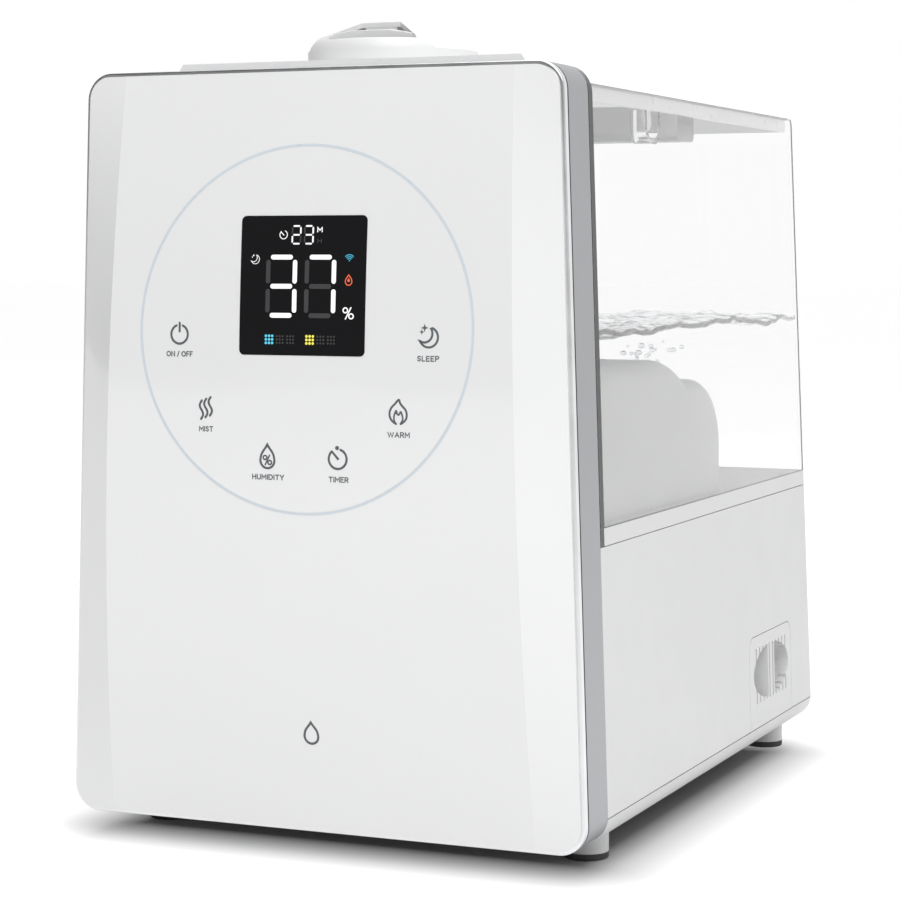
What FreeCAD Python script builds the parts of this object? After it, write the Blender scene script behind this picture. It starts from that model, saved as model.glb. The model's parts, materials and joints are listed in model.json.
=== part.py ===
import FreeCAD, Part
import math
import os

# Top-fill ultrasonic humidifier. Millimetres. X across the front, Y from front (-) to back (+), Z up.
# The origin is on the floor under the middle of the whole object.

V = FreeCAD.Vector

# ---- driving dimensions: outer body -------------------------------------------------------------
WIDTH_BOTTOM = 195.0        # across the front at the lower edge
WIDTH_TOP = 177.1           # across the front at the upper edge
DEPTH = 296.05              # bulge of the front panel to the back of the base
FOOT_HEIGHT = 10.0          # gap under the body
PANEL_HEIGHT = 260.7        # height of the front panel
REAR_LEAN = 10.3            # how far the back leans forward over the panel's height
CORNER = 9.5                # radius of the front outline's corners and of the long edges
REAR_CORNER = 4.0           # radius of the rear rim
WALL = 2.5                  # wall of the moulded shells
GAP = 0.3                   # clearance between bodies that separate
SEAM_HEIGHT = 0.45          # shadow groove along the seam over the bottom tray
SEAM_DEPTH = 0.9
RIM_GROOVE = (1.0, 0.8)     # width and depth of the groove between the rim and the frame

# ---- driving dimensions: front panel ------------------------------------------------------------
BULGE_EDGE = 1.5            # how far the panel stands proud at its rim
BULGE_MIDDLE = 9.4          # further bulge at mid height
CREASE_BOTTOM = 80.2        # half distance between the two creases, at the lower edge
CREASE_TOP = 72.1           # the same at the upper edge
FRAME_DEPTH = 22.0          # depth of the metal frame
RIM = 1.4                   # visible width of the polished rim
RING_HEIGHT = 182.6         # centre of the inlaid ring above the floor
RING_RADIUS = 61.8
RING_X = -0.6               # the ring and the window sit a little left of the middle
WINDOW_X = -1.0
WINDOW_SIDE = 46.8          # display window, a square
WINDOW_HEIGHT = 197.5       # centre of the window above the floor

# ---- driving dimensions: heights above the floor ------------------------------------------------
BODY_BOTTOM = FOOT_HEIGHT - 0.5
PANEL_TOP = FOOT_HEIGHT + PANEL_HEIGHT
TRAY_SEAM = 18.3            # between the bottom tray and the base
TANK_SEAM = 110.0           # between the base and the tank
STRIP_TOP = 116.3           # top of the tank's opaque lower ring
TANK_TOP = 264.3            # rim of the clear tank, under the lid
DECK_TOP = 274.9            # raised deck on the lid
DECK_PLATE = 106.5          # top of the basin's deck inside the base

# ---- driving dimensions: mist path --------------------------------------------------------------
FRONT_Y = -DEPTH / 2 + BULGE_EDGE + BULGE_MIDDLE    # plane of the rim
FRAME_BACK = FRONT_Y + FRAME_DEPTH
REAR_Y = 148.15                                     # back plane at FOOT_HEIGHT
MIST_Y = FRONT_Y + 62.5                             # axis of the nozzle, tube and transducer
CHIMNEY_RADIUS = 22.0
TUBE_RADIUS = 19.0
COLLAR_RADIUS = 26.0
NOZZLE_RADIUS = 30.4
NOZZLE_BOTTOM = 275.3
NOZZLE_LEDGE = 279.7        # flat ledge round the nozzle's low back
NOZZLE_LIP = 283.0          # front lip of the outlet window
NOZZLE_SHOULDER = (28.2, 284.0)
NOZZLE_TOP = (12.6, 289.75)
NOZZLE_RIDGE = -9.2         # the hood's ridge, in front of the nozzle's axis
NOZZLE_WALL = 1.7
RIDGE_END = (8.6, NOZZLE_RIDGE, NOZZLE_TOP[1])      # corners of the nozzle's faces, from its axis
RIB_FOOT = (24.4, -17.8, NOZZLE_LEDGE)
HOOD_FOOT = (13.0, -3.0, 285.5)
REAR_FOOT = (24.4, 18.2, NOZZLE_LEDGE)
REAR_MIDDLE = (0.0, 18.2, 280.8)
COLLAR_TOP = 277.9

# ---- driving dimensions: base contents ----------------------------------------------------------
BASIN_FLOOR = 66.0
WELL_X = (-64.0, 0.0)      # valve well, behind the main tub
WELL_Y = (16.0, 112.0)
TUB_X = (-60.0, 34.0)
TUB_Y = (-104.0, 16.0)
VALVE = (-32.0, 72.0)       # axis of the tank valve
BLOWER = (52.0, 84.0)       # axis of the blower
BLOWER_Z = (62.0, 92.0)
FLOAT = (-42.0, -14.0)
HEATER = (-40.5, -76.0)
DRAWER_Y = (FRONT_Y + 191.5, FRONT_Y + 251.5)
DRAWER_Z = (18.7, 55.4)
BAY_X = 32.0                # inner end of the drawer bay
DUCT_X = (63.0, 85.0)       # air duct along the right side
DUCT_Y = (-88.0, -64.0)     # its run across to the chimney
DUCT_Z = (74.0, 94.0)
DUCT_END = 62.0             # where the duct meets the blower
SCROLL_RADIUS = 36.0
INLET = (-60.0, 34.0)       # cord inlet in the back wall, X and Z
SCREWS = ((-87.0, -70.0), (87.0, -70.0), (-87.0, 20.0), (87.0, 20.0), (-80.0, 137.0), (80.0, 137.0))
FEET = ((-82.0, -94.6), (82.0, -94.6), (-82.0, 124.9), (82.0, 124.9))

# ---- driving dimensions: scent drawer -----------------------------------------------------------
RECESS = (FRONT_Y + 222.0, 39.5)    # centre of the finger recess, in Y and Z
RECESS_HALF = (25.0, 10.9)
RECESS_DEPTH = 8.0
SLOT_PITCH = 4.65
SLOT_COUNT = 10
SLOT_WIDTH = 1.5
SLOT_Z = (28.2, 50.5)

# ---- driving dimensions: tank -------------------------------------------------------------------
FLANGE_Y = (FRAME_BACK + 0.4, FRAME_BACK + 4.0)     # the tank's front plate
TANK_FLOOR = (113.3, STRIP_TOP)
TANK_VOID_FRONT = FLANGE_Y[1] + 2.5
HUMP_HALF = 88.0            # half width of the hump over the mist chimney
HUMP_WALL = 2.2
HUMP_BACK = FRONT_Y + 174.6
HUMP_TOP = 169.8
HUMP_STEP = 161.4           # top of the hump's rear lobe
HUMP_LOBE = 28.0            # radius of the rear lobe's back
HUMP_SHOULDER = FRONT_Y + 98.0
HUMP_SADDLE = FRONT_Y + 131.0
POCKET_Y = (FRONT_Y + 82.0, FRONT_Y + 98.5)
POCKET_Z = (247.0, 258.6)
HANDLE_Y = (FRONT_Y + 118.0, FRONT_Y + 138.0)

# ---- driving dimensions: lid --------------------------------------------------------------------
LID_BOTTOM = TANK_TOP + GAP
LID_FRONT = FLANGE_Y[1] + 0.4
SKIRT_BOTTOM = 259.0
SKIRT_CORNER = 2.0
DECK_HALF = 67.0
PEG = (FRONT_Y + 90.7, 255.0)

PARTS = {}


# ---- small helpers ------------------------------------------------------------------------------
def block(x, y, z):
    """A box from pairs of limits."""
    return Part.makeBox(x[1] - x[0], y[1] - y[0], z[1] - z[0], V(x[0], y[0], z[0]))


def rod(radius, x, y, z):
    """An upright cylinder between two heights."""
    return Part.makeCylinder(radius, z[1] - z[0], V(x, y, z[0]))


def tube(outer, inner, x, y, z):
    """An upright tube between two heights."""
    return rod(outer, x, y, z).cut(rod(inner, x, y, z))


def rod_along(axis, radius, start, length):
    """A cylinder along X or Y."""
    return Part.makeCylinder(radius, length, start, axis)


def rounded_block(x, y, z, radius):
    """A box with its four upright edges rounded."""
    solid = block(x, y, z)
    upright = [e for e in solid.Edges if abs(e.Vertexes[0].Z - e.Vertexes[1].Z) > 1e-6]
    return solid.makeFillet(radius, upright)


def fuse_all(shapes):
    """One solid, or one compound of solids, from a list of shapes."""
    result = shapes[0]
    if len(shapes) > 1:
        result = shapes[0].multiFuse(shapes[1:])
    return result.removeSplitter()


def group(shapes):
    """Separate solids kept together in one node."""
    return Part.makeCompound(shapes)


def prism_xz(points, y0, y1):
    """An outline in the XZ plane, extruded from y0 to y1."""
    wire = Part.makePolygon([V(px, y0, pz) for px, pz in points + points[:1]])
    return Part.Face(wire).extrude(V(0, y1 - y0, 0))


def half_width(z):
    """Half the body's width at a height."""
    return WIDTH_BOTTOM / 2 - (WIDTH_BOTTOM - WIDTH_TOP) / 2 * (z - FOOT_HEIGHT) / PANEL_HEIGHT


def rear_y(z):
    """The back plane at a height."""
    return REAR_Y - REAR_LEAN * (z - FOOT_HEIGHT) / PANEL_HEIGHT


def frustum(inset, y0, z0, z1):
    """The body's straight-sided form: sides and back lean in, the front is upright."""
    sections = []
    for z in (z0, z1):
        w = half_width(z) - inset
        back = rear_y(z) - inset
        corners = [V(-w, y0, z), V(w, y0, z), V(w, back, z), V(-w, back, z)]
        sections.append(Part.makePolygon(corners + corners[:1]))
    return Part.makeLoft(sections, True, True)


def envelope(inset, y0):
    """The frustum with rounded long edges and a rounded rear rim."""
    solid = frustum(inset, y0, BODY_BOTTOM + inset, PANEL_TOP - inset)
    long_edges = [e for e in solid.Edges if e.BoundBox.YLength > 100]
    solid = solid.makeFillet(CORNER - inset, long_edges)
    rear_rim = [e for e in solid.Edges if e.BoundBox.YMin > y0 + 100]
    return solid.makeFillet(REAR_CORNER - inset, rear_rim)


def layer(solid, z0, z1, y0=-200.0, y1=200.0):
    """The slice of a solid between two heights, and between two planes if given."""
    return solid.common(block((-200, 200), (y0, y1), (z0, z1)))


def outline_prism(inset, y0, y1):
    """The front outline, a trapezoid with rounded corners, as a plate."""
    z0 = FOOT_HEIGHT + inset
    z1 = PANEL_TOP - inset
    points = [(-half_width(z0) + inset, z0), (half_width(z0) - inset, z0)]
    points += [(half_width(z1) - inset, z1), (-half_width(z1) + inset, z1)]
    solid = prism_xz(points, y0, y1)
    along_y = []
    for edge in solid.Edges:
        if edge.BoundBox.YLength > abs(y1 - y0) / 2:
            along_y.append(edge)
    return solid.makeFillet(CORNER - inset, along_y)


# ---- front panel assembly -----------------------------------------------------------------------
def bulge(z):
    """How far the panel's middle strip stands in front of the rim plane."""
    mid = FOOT_HEIGHT + PANEL_HEIGHT / 2
    return BULGE_EDGE + BULGE_MIDDLE * (1 - ((z - mid) / (PANEL_HEIGHT / 2)) ** 2)


def bulge_slab(offset, thickness):
    """A curved slab that follows the panel's middle strip, offset forward by a distance."""
    steps = 16
    front = []
    for i in range(steps + 1):
        z = FOOT_HEIGHT + PANEL_HEIGHT * i / steps
        front.append(V(-100, FRONT_Y - bulge(z) - offset, z))
    curve = Part.BSplineCurve()
    curve.interpolate(front)
    back = curve.copy()
    back.translate(V(0, thickness, 0))
    low = Part.makeLine(front[0], front[0] + V(0, thickness, 0))
    high = Part.makeLine(front[-1], front[-1] + V(0, thickness, 0))
    wire = Part.Wire(Part.__sortEdges__([curve.toShape(), low, back.toShape(), high]))
    return Part.Face(wire).extrude(V(200, 0, 0))


def panel_section(z, back):
    """A level section of the panel: middle strip between creases, facets running to the rim."""
    part = (z - FOOT_HEIGHT) / PANEL_HEIGHT
    crease = CREASE_BOTTOM + (CREASE_TOP - CREASE_BOTTOM) * part
    edge = half_width(z) - 0.5
    front = FRONT_Y - bulge(z)
    rim = FRONT_Y - BULGE_EDGE * 0.35
    points = [V(-edge, back, z), V(-edge, rim, z), V(-crease, front, z)]
    points += [V(crease, front, z), V(edge, rim, z), V(edge, back, z)]
    return Part.makePolygon(points + points[:1])


def window_prism(grow, y0, y1):
    """The display window's rounded square, as a plate."""
    half = WINDOW_SIDE / 2 + grow
    left, right = WINDOW_X - half, WINDOW_X + half
    points = [(left, WINDOW_HEIGHT - half), (right, WINDOW_HEIGHT - half)]
    points += [(right, WINDOW_HEIGHT + half), (left, WINDOW_HEIGHT + half)]
    solid = prism_xz(points, y0, y1)
    along_y = [e for e in solid.Edges if e.BoundBox.YLength > 1]
    return solid.makeFillet(1.8 + grow, along_y)


def make_front_panel():
    back = FRONT_Y + 2.6
    steps = 12
    sections = []
    for i in range(steps + 1):
        sections.append(panel_section(FOOT_HEIGHT + PANEL_HEIGHT * i / steps, back))
    panel = Part.makeLoft(sections, True, False)
    panel = panel.common(outline_prism(RIM, FRONT_Y - 20, FRONT_Y + 10))
    ring = ring_prism(RING_RADIUS + 0.5, RING_RADIUS - 0.5)
    panel = panel.cut(ring.common(bulge_slab(0.5, 1.1)))
    panel = panel.cut(window_prism(0.0, FRONT_Y - 20, FRONT_Y + 10).common(bulge_slab(0.5, 2.5)))
    PARTS["front_panel"] = panel


def ring_prism(outer, inner):
    start = V(RING_X, FRONT_Y - 20, RING_HEIGHT)
    along = V(0, 1, 0)
    return rod_along(along, outer, start, 30).cut(rod_along(along, inner, start, 30))


def make_ring_inlay():
    PARTS["ring_inlay"] = ring_prism(RING_RADIUS + 0.5, RING_RADIUS - 0.5).common(bulge_slab(0.02, 0.62))


def make_display_window():
    window = window_prism(0.0, FRONT_Y - 20, FRONT_Y + 10)
    PARTS["display_window"] = window.common(bulge_slab(0.12, 2.12))


def make_frame():
    outer = outline_prism(0.0, FRONT_Y + 2.6, FRAME_BACK)
    wide, deep = RIM_GROOVE
    groove = outline_prism(-1.0, FRONT_Y + 2, FRONT_Y + 2.6 + wide)
    outer = outer.cut(groove.cut(outline_prism(deep, FRONT_Y + 1, FRONT_Y + 5)))
    PARTS["front_frame"] = outer.cut(outline_prism(2.6, FRONT_Y, FRAME_BACK + 1))
    rim = outline_prism(0.0, FRONT_Y, FRONT_Y + 2.6)
    front_edges = []
    for edge in rim.Edges:
        if edge.BoundBox.YMax < FRONT_Y + 0.01:
            front_edges.append(edge)
    rim = rim.makeFillet(0.6, front_edges)
    PARTS["trim_ring"] = rim.cut(outline_prism(RIM, FRONT_Y - 1, FRONT_Y + 5))
    PARTS["panel_backplate"] = outline_prism(2.6, FRAME_BACK - 2.4, FRAME_BACK).cut(cable_slot())


def make_display_board():
    """Control board behind the panel, with standoffs, and the lamp module behind the window."""
    y = FRONT_Y + 11.0
    board = block((-70, 70), (y, y + 1.6), (108, 240))
    pieces = [board]
    for x in (-62, 62):
        for z in (116, 232):
            pieces.append(rod_along(V(0, 1, 0), 3.5, V(x, y + 1.0, z), FRAME_BACK - 2.4 - y - 1.0))
    for i in range(5):
        x = -40 + 18 * i
        pieces.append(block((x, x + 9), (y + 1.0, y + 3.6), (150 - 4 * i, 158 - 4 * i)))
    PARTS["display_board"] = fuse_all(pieces)
    half = WINDOW_SIDE / 2 - 1.0
    across = (WINDOW_X - half, WINDOW_X + half)
    module = block(across, (FRONT_Y + 3.2, y), (WINDOW_HEIGHT - half, WINDOW_HEIGHT + half))
    PARTS["led_module"] = module


def make_touch_pads():
    """Six sprung touch contacts between the board and the panel, one behind each symbol."""
    places = ((-47.5, 181), (-37.1, 155.7), (-13.6, 140), (12.7, 140), (45.5, 181), (34.7, 156))
    pads = []
    for x, z in places:
        pads.append(rod_along(V(0, 1, 0), 5.0, V(x, FRONT_Y + 3.2, z), 7.8))
    PARTS["touch_pads"] = group(pads)


# ---- base ---------------------------------------------------------------------------------------
def drawer_outline(grow, x0, x1):
    """The drawer front's outline, rounded at its upper corners, as a plate facing sideways."""
    y0, y1 = DRAWER_Y[0] - grow, DRAWER_Y[1] + grow
    z0, z1 = DRAWER_Z[0] - grow, DRAWER_Z[1] + grow
    solid = block((x0, x1), (y0, y1), (z0, z1))
    upper = []
    for edge in solid.Edges:
        box = edge.BoundBox
        if box.XLength > 1 and box.ZMin > z0 + 1:
            upper.append(edge)
    return solid.makeFillet(5.5 + grow, upper)


def make_base_shell(outer, inner):
    """Side walls of the base, with screw bosses, the drawer opening and the cord inlet hole."""
    shell = layer(outer, TRAY_SEAM, TANK_SEAM).cut(layer(inner, 0, 300))
    groove = layer(outer, TRAY_SEAM - 1, TRAY_SEAM + SEAM_HEIGHT)
    shell = shell.cut(groove.cut(layer(leaning_core(SEAM_DEPTH), 0, 300)))
    bosses = []
    for x, y in SCREWS:
        bosses.append(rod(5.0, x, y, (TRAY_SEAM, 40.0)))
        if abs(x) > 85:
            side = sorted((x, math.copysign(95.4, x)))
            bosses.append(block(side, (y - 1.5, y + 1.5), (TRAY_SEAM + 1, 38.0)))
        else:
            bosses.append(block((x - 1.5, x + 1.5), (y, 146.5), (TRAY_SEAM + 1, 38.0)))
    shell = fuse_all([shell] + bosses)
    for x, y in SCREWS:
        shell = shell.cut(rod(1.6, x, y, (TRAY_SEAM - 1, 34.0)))
    shell = shell.cut(drawer_outline(GAP, 80, 110))
    shell = shell.cut(rod_along(V(0, 1, 0), 7.0, V(INLET[0], 120, INLET[1]), 40))
    PARTS["base_shell"] = shell.cut(cable_slot())


def make_bottom_tray(outer, inner):
    """Shallow tray that closes the base from below, with cooling slots and screw holes."""
    tray = layer(outer, 0, TRAY_SEAM).cut(layer(inner, 0, 300))
    for x, y in SCREWS:
        tray = tray.fuse(rod(5.6, x, y, (11.0, TRAY_SEAM)))
    for x, y in SCREWS:
        tray = tray.cut(rod(1.9, x, y, (0, 30)))
        tray = tray.cut(rod(3.8, x, y, (0, 13.0)))
    for i in range(8):
        x = -76 + 8 * i
        tray = tray.cut(rounded_block((x, x + 3.0), (-30, 10), (5, 15), 1.4))
    PARTS["bottom_tray"] = tray.removeSplitter()


def make_feet(tray):
    posts = []
    pads = []
    for x, y in FEET:
        posts.append(rod(7.8, x, y, (2.4, 11.5)).cut(tray))
        pad = rod(7.8, x, y, (0, 2.4))
        low = [e for e in pad.Edges if e.BoundBox.ZMax < 0.01]
        pads.append(pad.makeFillet(0.5, low))
    PARTS["foot_posts"] = group([largest(p) for p in posts])
    PARTS["foot_pads"] = group(pads)


def largest(shape):
    """The biggest solid of a shape."""
    return max(shape.Solids, key=lambda s: s.Volume)


def make_screws():
    screws = []
    for x, y in SCREWS:
        head = rod(3.4, x, y, (10.6, 13.0))
        shank = rod(1.5, x, y, (13.0, 31.0))
        slot = block((x - 3, x + 3), (y - 0.4, y + 0.4), (10.0, 11.6))
        screws.append(head.fuse(shank).cut(slot))
    PARTS["base_screws"] = group(screws)


def make_basin(inner):
    """Deck inside the base with the water tub and, behind it, the well for the tank valve."""
    deck = layer(inner, DECK_PLATE - 2.5, DECK_PLATE)
    floor = BASIN_FLOOR
    outer_tub = rounded_block(TUB_X, TUB_Y, (floor, DECK_PLATE), 6.0)
    outer_well = rounded_block(WELL_X, (WELL_Y[0] - 14, WELL_Y[1]), (floor, DECK_PLATE), 6.0)
    top = DECK_PLATE + 1
    inner_tub = shrunk(TUB_X, TUB_Y, (floor + WALL, top))
    inner_well = shrunk(WELL_X, (WELL_Y[0] - 14, WELL_Y[1]), (floor + WALL, top))
    basin = fuse_all([deck, outer_tub, outer_well]).cut(inner_tub).cut(inner_well)
    basin = basin.cut(duct_path(0.0))
    PARTS["base_basin"] = basin


def shrunk(x, y, z):
    """The hollow of a tub: the same plan, one wall smaller all round."""
    return rounded_block((x[0] + WALL, x[1] - WALL), (y[0] + WALL, y[1] - WALL), z, 6.0 - WALL)


def make_mist_chamber():
    """Transducer in its holder, the chimney over it and the warming plate beside it."""
    floor = BASIN_FLOOR + WALL
    PARTS["transducer_ring"] = tube(15.0, 10.2, 0, MIST_Y, (floor, floor + 4.0))
    PARTS["transducer"] = rod(10.0, 0, MIST_Y, (floor, floor + 1.6))
    wall = tube(CHIMNEY_RADIUS, CHIMNEY_RADIUS - 2, 0, MIST_Y, (77.0, 164.0))
    legs = []
    for k in range(3):
        turn = math.radians(80 + 100 * k)
        x, y = 21.0 * math.cos(turn), MIST_Y + 21.0 * math.sin(turn)
        legs.append(rod(2.0, x, y, (floor, 79.0)))
    chimney = fuse_all([wall] + legs).cut(duct_path(-2.0))
    PARTS["mist_chimney"] = chimney
    hx, hy = HEATER
    plate = rod(16.0, hx, hy, (floor, floor + 3.0))
    stud = rod(4.0, hx, hy, (floor + 3.0, floor + 5.0))
    PARTS["heater_plate"] = plate.fuse(stud).removeSplitter()


def make_float_parts():
    fx, fy = FLOAT
    floor = BASIN_FLOOR + WALL
    pin = rod(1.8, fx, fy, (floor, 100.0))
    cap = rod(3.6, fx, fy, (97.0, 100.0))
    foot = rod(5.0, fx, fy, (floor, floor + 1.5))
    PARTS["float_guide"] = fuse_all([pin, cap, foot])
    body = tube(11.0, 1.88, fx, fy, (floor + 2.0, floor + 14.0))
    rims = [e for e in body.Edges if e.Closed and e.BoundBox.XLength > 20]
    PARTS["float"] = body.makeFillet(1.5, rims)


def make_valve_post():
    vx, vy = VALVE
    floor = BASIN_FLOOR + WALL
    PARTS["valve_post"] = fuse_all([rod(3.2, vx, vy, (floor, 87.8)), rod(7.0, vx, vy, (floor, floor + 2.0))])


def duct_path(grow):
    """The air duct's run: forward from the blower, then across to the chimney."""
    z = (DUCT_Z[0] - grow, DUCT_Z[1] + grow)
    x = (DUCT_X[0] - grow, DUCT_X[1] + grow)
    y = (DUCT_Y[0] - grow, DUCT_Y[1] + grow)
    forward = block(x, (y[0], DUCT_END - grow), z)
    across = block((0.0, x[1]), y, z)
    return fuse_all([forward, across])


def make_blower():
    """Blower housing with its round inlet below and side outlet, and the motor on top."""
    bx, by = BLOWER
    z0, z1 = BLOWER_Z
    scroll = rod(SCROLL_RADIUS, bx, by, (z0, z1))
    outlet = block(DUCT_X, (DUCT_END, by), (DUCT_Z[0], z1))
    hollow = rod(SCROLL_RADIUS - 2, bx, by, (z0 + 2, z1 - 2))
    throat = block((DUCT_X[0] + 2, DUCT_X[1] - 2), (DUCT_END - 20, by), (DUCT_Z[0] + 2, z1 - 2))
    inlet = rod(19.0, bx, by, (z0 - 1, z0 + 3))
    motor_hole = rod(13.0, bx, by, (z1 - 3, z1 + 1))
    housing = fuse_all([scroll, outlet]).cut(hollow).cut(throat)
    PARTS["blower_housing"] = housing.cut(inlet).cut(motor_hole)
    can = rod(12.6, bx, by, (z1 - 4, z1 + 9))
    ears = rounded_block((bx - 20, bx + 20), (by - 4, by + 4), (z1, z1 + 1.6), 3.0)
    bore = rod(2.0, bx, by, (z1 - 5, z1 + 6))
    PARTS["blower_motor"] = fuse_all([can, ears]).cut(bore)


def make_blower_wheel():
    """Centrifugal wheel: back plate, hub with shaft, and a ring of curved-back blades."""
    bx, by = BLOWER
    z0, z1 = BLOWER_Z
    plate = rod(30.0, bx, by, (z1 - 6.0, z1 - 4.6))
    hub = rod(5.0, bx, by, (z0 + 8, z1 - 4.6))
    shaft = rod(1.95, bx, by, (z1 - 6.0, z1 + 5.0))
    ring = tube(30.0, 28.0, bx, by, (z0 + 4, z0 + 6))
    pieces = [plate, hub, shaft, ring]
    blades = 24
    for k in range(blades):
        blade = block((22.0, 29.6), (-0.5, 0.5), (z0 + 4, z1 - 5.0))
        blade.rotate(V(22, 0, 0), V(0, 0, 1), -28)
        blade.rotate(V(0, 0, 0), V(0, 0, 1), 360.0 * k / blades)
        blade.translate(V(bx, by, 0))
        pieces.append(blade)
    PARTS["blower_wheel"] = fuse_all(pieces).common(rod(30.0, bx, by, (z0, z1 + 6)))


def make_air_duct():
    chimney = rod(CHIMNEY_RADIUS, 0, MIST_Y, (60, 180))
    scroll = rod(SCROLL_RADIUS, BLOWER[0], BLOWER[1], (60, 120))
    duct = duct_path(0.0).cut(hollow_duct()).cut(chimney).cut(scroll)
    PARTS["air_duct"] = largest(duct)


def hollow_duct():
    """The duct's air space, open at both ends."""
    z = (DUCT_Z[0] + 2, DUCT_Z[1] - 2)
    x = (DUCT_X[0] + 2, DUCT_X[1] - 2)
    y = (DUCT_Y[0] + 2, DUCT_Y[1] - 2)
    return fuse_all([block(x, (y[0], DUCT_END + 10), z), block((0.0, x[1]), y, z)])


def make_power_board():
    """Supply board on four posts under the tub, with its larger components."""
    x, y, z = (-82.0, -16.0), (-84.0, 56.0), 24.0
    pieces = [block(x, y, (z, z + 1.6))]
    for px in (x[0] + 5, x[1] - 5):
        for py in (y[0] + 5, y[1] - 5):
            pieces.append(rod(3.0, px, py, (12.0, z)))
    pieces.append(block((-60, -34), (-60, -30), (z + 1.0, z + 22)))
    pieces.append(block((-76, -70), (-50, 10), (z + 1.0, z + 26)))
    for k in range(4):
        pieces.append(rod(5.0, -58 + 11.5 * k, 10, (z + 1.0, z + 20)))
    for k in range(3):
        pieces.append(rod(6.5, -60 + 15 * k, 36, (z + 1.0, z + 12)))
    PARTS["power_board"] = fuse_all(pieces)


def make_ribbon_cable():
    """Flat cable from the supply board forward and up to the control board."""
    y_board = FRONT_Y + 12.6
    slot_y = FRAME_BACK - 2.4
    low = block((-52, -38), (slot_y - 4, -80), (26.0, 27.0))
    up = block((-52, -38), (slot_y - 4, slot_y - 3), (26.0, 112.0))
    top = block((-52, -38), (y_board, slot_y - 3), (111.0, 112.0))
    PARTS["ribbon_cable"] = fuse_all([low, up, top])


def cable_slot():
    """Passage for the flat cable through the walls behind the panel."""
    return block((-53, -37), (FRAME_BACK - 3, FRAME_BACK + 6), (25.0, 28.0))


def make_mains_inlet():
    """Bushing in the back wall where the supply lead enters."""
    x, z = INLET
    inside = rear_y(z) - WALL - 0.4
    along = V(0, 1, 0)
    flange = rod_along(along, 9.0, V(x, inside - 2.4, z), 2.4)
    sleeve = rod_along(along, 6.9, V(x, inside - 2.4, z), WALL + 2.6)
    hole = rod_along(along, 3.6, V(x, inside - 10, z), 20)
    PARTS["mains_inlet"] = fuse_all([flange, sleeve]).cut(hole)


def make_humidity_sensor():
    """Small sensor beside the drawer bay, where room air passes."""
    x = BAY_X
    board = block((x - 14.0, x - 2.4), (92.0, 93.2), (24.0, 40.0))
    chip = block((x - 11.0, x - 5.0), (93.2, 95.4), (29.0, 36.0))
    tab = block((x - 14.0, x), (90.4, 92.0), (24.0, 27.0))
    PARTS["humidity_sensor"] = fuse_all([board, chip, tab])


def make_drawer_bay(inner):
    """Sleeve that the scent drawer slides into, open above towards the blower."""
    y = (DRAWER_Y[0] - 0.6, DRAWER_Y[1] + 0.6)
    z = (TRAY_SEAM, DRAWER_Z[1] + 2.6)
    outside = block((BAY_X, 110), y, z)
    inside = block((BAY_X + 1.8, 111), (y[0] + 1.8, y[1] - 1.8), (z[0] - 1, z[1] - 1.8))
    bay = outside.cut(inside).common(layer(inner, 0, 300))
    vent = rod(18.0, BLOWER[0], BLOWER[1], (z[1] - 4, z[1] + 2))
    PARTS["drawer_bay"] = bay.cut(vent)
    throat = tube(21.0, 19.0, BLOWER[0], BLOWER[1], (z[1], BLOWER_Z[0]))
    PARTS["blower_throat"] = throat


# ---- scent drawer -------------------------------------------------------------------------------
def ellipse_rod(grow, x0, x1):
    """The finger recess's ellipse, as a prism along X."""
    major, minor = RECESS_HALF[0] + grow, RECESS_HALF[1] + grow
    ellipse = Part.Ellipse(V(0, 0, 0), major, minor)
    wire = Part.Wire([ellipse.toShape()])
    face = Part.Face(wire)
    face.rotate(V(0, 0, 0), V(1, 0, 0), 90)
    face.rotate(V(0, 0, 0), V(0, 0, 1), 90)
    face.translate(V(x0, RECESS[0], RECESS[1]))
    return face.extrude(V(x1 - x0, 0, 0))


def make_drawer_front(outer):
    """Slotted drawer front, flush with the base, with an elliptical recess and a grip bar."""
    skin = drawer_outline(0.0, 80, 110)
    shell = skin.common(layer(outer, 0, 300))
    back = skin.common(layer(leaning_core(2.2), 0, 300))
    plate = shell.cut(back)
    cup_x = half_width(RECESS[1]) - RECESS_DEPTH
    cup = ellipse_rod(1.4, cup_x - 1.4, 110).common(layer(leaning_core(1.0), 0, 300))
    front = plate.fuse(cup).cut(ellipse_rod(0.0, cup_x, 110))
    grip_y = (RECESS[0] - 4.6, RECESS[0] + 4.6)
    grip = block((cup_x - 1.0, 110), grip_y, (RECESS[1] - 11.6, RECESS[1] + 11.6))
    grip = grip.common(ellipse_rod(0.5, 80, 110)).common(layer(outer, 0, 300))
    front = fuse_all([front, grip])
    first = RECESS[0] - SLOT_PITCH * (SLOT_COUNT - 1) / 2
    for i in range(SLOT_COUNT):
        y = first + SLOT_PITCH * i
        depth = half_width(RECESS[1]) - 3.2
        slot = block((depth, 110), (y - SLOT_WIDTH / 2, y + SLOT_WIDTH / 2), SLOT_Z)
        front = front.cut(slot)
    PARTS["drawer_front"] = largest(front)


def leaning_core(inset):
    """The straight-sided form shrunk by an inset, for cutting plates that follow the wall."""
    return frustum(inset, FRAME_BACK, 5.0, 300.0)


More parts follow.
